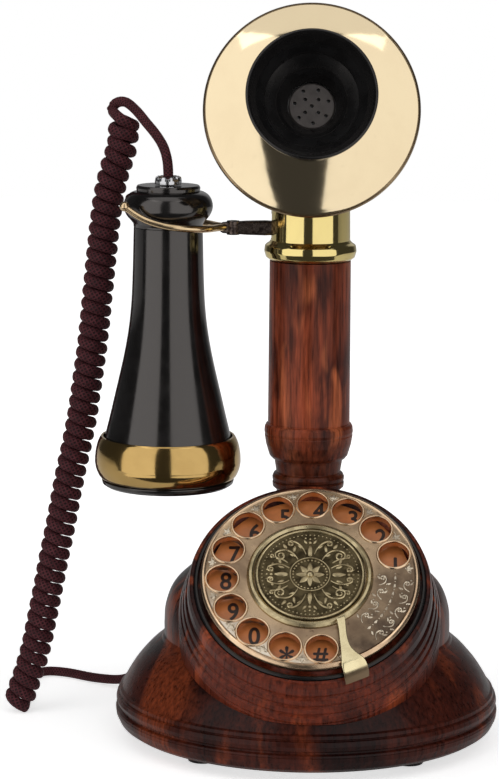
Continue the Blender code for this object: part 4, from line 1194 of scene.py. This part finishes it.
headTurning = {
    "dome": [(13.2, 8.7), (20.0, 8.2), (27.0, 7.1), (33.0, 5.65), (38.0, 4.05), (42.2, 2.35),
             (45.5, 0.75)],
    "face": [(45.5, 0.75), (45.9, 0.5, 0.2), (46.4, -1.0, 0.7), (46.0, -2.6, 0.6),
             (45.0, -2.4, 0.2), (41.0, 0.9, 1.0), (34.0, 3.6, 2.0), (27.0, 5.4, 2.0), (13.2, 7.1)],
    "rim": [(45.4, 0.6), (45.8, 0.8, 0.2), (46.5, 0.2, 0.4), (46.9, -0.9, 0.6),
            (46.3, -2.8, 0.5), (45.2, -2.6, 0.2), (45.3, -1.4)],
    "cup": [(34.0, 2.9), (35.7, 2.9, 0.3), (36.5, -3.0, 3.0), (35.2, -11.5, 5.0),
            (28.6, -21.4, 6.0), (12.0, -24.8, 3.0), (3.4, -25.0), (3.4, -22.8), (26.0, -20.4),
            (33.0, -11.0), (34.0, -4.0)],
    "mouth": [(10.4, 4.0), (10.4, 9.0, 0.4), (13.4, 13.6, 3.0), (15.0, 15.4, 0.3),
              (15.4, 16.7, 0.2), (18.4, 19.4, 3.0), (20.0, 20.8, 0.3), (20.4, 22.2, 0.2),
              (23.6, 26.6, 4.0), (25.9, 32.4, 2.0), (26.4, 34.6, 0.3), (26.9, 35.2, 0.3),
              (27.8, 34.7, 0.5), (27.75, 33.0, 0.5), (26.6, 29.6, 2.0), (24.0, 23.6, 6.0),
              (18.8, 17.0, 3.0), (15.9, 13.8, 0.8), (15.4, 9.2, 0.4), (12.9, 9.0), (12.9, 4.0)],
}


def makeHead():
    # Lathe surfaces on the face's axis: dish, rim, cup, horn and a drilled grille.
    dome = throughPoints(headTurning["dome"], 8)
    edge = filleted(headTurning["face"], 6)[1:]
    turnedPiece("face_dish", faceAxis, np.concatenate([dome, edge]), looks["paleBrass"],
                "head", 200, replaces=["faceplate"])
    rim = buildPiece("face_rim", [turnedShape(faceAxis, filleted(headTurning["rim"], 5), 200)],
                     looks["rimBrass"], "head")
    turnedPiece("transmitter_back", faceAxis, filleted(headTurning["cup"], 6),
                looks["rimBrass"], "head", 160, replaces=["transmitter_cup"])
    turnedPiece("speaking_horn", faceAxis, filleted(headTurning["mouth"], 6),
                looks["mouthBlack"], "head", 192, replaces=["mouthpiece"])
    grille = turnedPiece("sound_grille", faceAxis,
                         filleted([(0, 7.6), (9.4, 7.4, 0.3), (10.1, 6.6, 0.2), (10.1, 6.2),
                                   (0, 6.2)], 3), looks["grilleGrey"], "head", 96, False)
    drillHoles(grille, faceAxis, 0.8, 5.0, 9.0, 20,
               [(0.0, 0.0)] + onCircles([(4.0, 4, 0.78), (7.4, 7, 0.3)]))
    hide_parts("mouth_grille")


makeHead()
print("head made")

# Hook lever and its fork

fork = {
    # arm: distance along X from the pin, half width along Y, half height along Z
    "arm": [(11.4, 1.5, 1.9), (11.9, 2.1, 2.6), (-8.0, 2.2, 2.9), (-16.0, 2.3, 3.3),
            (-24.0, 2.4, 3.1), (-30.0, 2.4, 2.7), (-34.6, 2.3, 2.4), (-36.0, 1.6, 1.5)],
    "prong": [(-33.0, 0.6, 0.4), (-37.0, 5.0, 0.4), (-40.6, 11.0, 0.5), (-45.6, 15.6, 0.8),
              (-52.0, 18.2, 1.4), (-58.6, 18.9, 2.3), (-65.6, 18.9, 4.2), (-71.0, 18.9, 6.8),
              (-76.2, 18.9, 10.4)],
    "ball": 2.15, "prongRadius": 1.6,
}


def makeFork():
    # The arm is a row of rounded rectangles: a superellipse of power 5 across each station.
    stations, sides = np.array(fork["arm"]), 40
    v = np.linspace(0, 2 * pi, sides, endpoint=False)
    across, over = squared(np.cos(v), 0.4), squared(np.sin(v), 0.4)
    local = np.stack([stations[:, :1] + 0 * v, stations[:, 1:2] * across,
                      stations[:, 2:] * over + 0.1], axis=2)
    local = closedEnds(local)
    boss = filleted([(0, 3.1), (2.9, 3.1, 0.4), (3.1, 0.0, 0.3), (2.9, -3.1, 0.4), (0, -3.1)], 3)
    bossAxis = makeAxis(hookAxis["origin"] + np.array((-30.0, 0, 0.1)) * mm)
    arm = buildPiece("lever_arm",
                     [(world(hookAxis, local), gridFaces(len(local), sides, False, True)),
                      turnedShape(bossAxis, boss, sides, False)],
                     looks["darkBronze"], "hook", 40.0)
    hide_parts("hook_lever")
    shapes = []
    for side in (-1, 1):
        route = np.array(fork["prong"]) * np.array((1.0, side, 1.0))
        path = world(hookAxis, throughPoints(route, 10))
        t = np.linspace(0, 1, len(path))
        radii = fork["prongRadius"] * (1.0 - 0.12 * t) * mm
        shapes.append(tubeShape(path, radii, 24, (0, 0, 1)))
        a = np.linspace(0, pi, 17)
        ball = np.column_stack([fork["ball"] * np.sin(a), fork["ball"] * np.cos(a)])
        tip = makeAxis(world(hookAxis, np.array((-76.6, 18.9 * side, 10.8))))
        shapes.append(turnedShape(tip, ball, 32, False))
    prongs = buildPiece("fork_prongs", shapes, looks["forkBrass"], "hook", 50.0)


makeFork()
print("fork made")

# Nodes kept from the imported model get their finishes

kept = {
    "steel": ["bottom_plate", "column_rod", "dial_frame", "dial_shaft", "dial_spring",
              "governor_spindle", "hook_pin", "speaker_capsule", "mic_capsule", "ballast_weight"],
    "collarBrass": ["tilt_lug", "tilt_screw", "tilt_nut", "rod_nut", "board_post", "dial_gear",
                    "governor_pinion"],
    "rimBrass": ["tilt_bracket"],
    "blackPlastic": ["line_jack", "hook_switch", "ringer_buzzer", "switch_plunger"],
    "rubber": ["cord_bush"],
    "board": ["circuit_board"],
}


def finishKept():
    for look, names in kept.items():
        for node in sorted(frame["nodes"]):
            if any(node == n or node.startswith(n + "_") for n in names):
                obj = bpy.data.objects[node]
                obj.data.materials.clear()
                obj.data.materials.append(looks[look])


finishKept()

# Floor, lights and surroundings


def makeFloor():
    # A wide pale table top; its front edge lies close before the object.
    count = 25
    x = np.linspace(-6.0, 6.0, count)
    y = np.linspace(columnAxis["origin"][1] - 0.125, 2.5, count)
    gridX, gridY = np.meshgrid(x, y, indexing="ij")
    points = np.stack([gridX, gridY, np.full_like(gridX, -0.0002)], axis=2)
    material, tree, shader, where = newMaterial("pale_floor", {
        "Specular IOR Level": 0.1, "Emission Strength": 1.0})
    # the table's glow grows towards the back of the studio; the lens sees all of it, and
    # the object's reflections less than a quarter
    depth = addNode(tree, "ShaderNodeSeparateXYZ", {0: where}).outputs[1]
    toLens = addNode(tree, "ShaderNodeLightPath").outputs["Is Camera Ray"]
    glow = arith(tree, "MULTIPLY", spread(tree, depth, -0.10, 0.75, 0.62, 0.98),
                 spread(tree, toLens, 0.0, 1.0, 0.22, 1.0))
    tree.links.new(greyOf(tree, glow), shader.inputs["Emission Color"])
    cloud = noise(tree, where, 3.0, 3.0, 0.5)
    tree.links.new(mixColour(tree, cloud, rgb(0.93, 0.93, 0.93), rgb(0.96, 0.96, 0.96)),
                   shader.inputs["Base Color"])
    tree.links.new(spread(tree, cloud, 0.3, 0.7, 0.55, 0.65), shader.inputs["Roughness"])
    floor = buildPiece("studio_floor", [(points, gridFaces(count, count, False, False))],
                       material, None)


studio = {
    # azimuth from the camera's side, distance, height, width, tall, radiance
    "left": (radians(-47), 1.5, 0.95, 1.58, 3.3, 1.1),
    "right": (radians(37), 1.5, 0.95, 1.80, 3.3, 1.02),
    "rear": (radians(180), 2.4, 1.3, 2.2, 1.2, 0.16),
}
overhead = {"place": (0.0, -0.42, 2.2), "width": 2.6, "deep": 1.5, "radiance": 0.85}


def addPanel(name, width, tall, radiance):
    # A flat lamp that the lens doesn't see; its power is its radiance times pi times its area.
    data = bpy.data.lights.new(name, "AREA")
    data.shape, data.size, data.size_y = "RECTANGLE", width, tall
    data.energy = radiance * pi * width * tall
    panel = bpy.data.objects.new(name, data)
    bpy.context.scene.collection.objects.link(panel)
    panel.visible_camera = False
    return panel


def addSoftbox(name, azimuth, distance, height, width, tall, radiance):
    # A soft box stands upright and faces the column.
    box = addPanel(name, width, tall, radiance)
    inward = np.array((-sin(azimuth), cos(azimuth), 0.0))
    place = np.eye(4)
    place[:3, 0] = np.cross(np.array((0, 0, 1.0)), -inward)
    place[:3, 1] = (0, 0, 1)
    place[:3, 2] = -inward
    place[:3, 3] = columnAxis["origin"] - inward * distance + np.array((0, 0, height))
    box.matrix_world = Matrix(place.tolist())


def addOverhead():
    panel = addPanel("overhead", overhead["width"], overhead["deep"], overhead["radiance"])
    panel.location = tuple(columnAxis["origin"] + np.array(overhead["place"]))


def setWorld():
    # White to the lens; a dim room for the reflections, a little lighter straight behind.
    surroundings = bpy.data.worlds.new("studio")
    bpy.context.scene.world = surroundings
    surroundings.use_nodes = True
    tree = surroundings.node_tree
    tree.nodes.clear()
    out = addNode(tree, "ShaderNodeOutputWorld")
    ray = addNode(tree, "ShaderNodeLightPath").outputs["Is Camera Ray"]
    direction = addNode(tree, "ShaderNodeTexCoord").outputs["Generated"]
    towards = addNode(tree, "ShaderNodeSeparateXYZ", {0: direction}).outputs[1]
    level = spread(tree, towards, 0.70, 0.98, 0.045, 0.30)
    seen = addNode(tree, "ShaderNodeBackground", {"Color": rgb(1, 1, 1), "Strength": 1.0})
    felt = addNode(tree, "ShaderNodeBackground", {"Color": rgb(1, 1, 1), "Strength": level})
    mixed = addNode(tree, "ShaderNodeMixShader", {0: ray, 1: felt.outputs[0], 2: seen.outputs[0]})
    tree.links.new(mixed.outputs[0], out.inputs["Surface"])


makeFloor()
for boxName, values in studio.items():
    addSoftbox(boxName + "_softbox", *values)
addOverhead()
setWorld()
bpy.context.scene.view_settings.view_transform = "Standard"
print("studio lit")
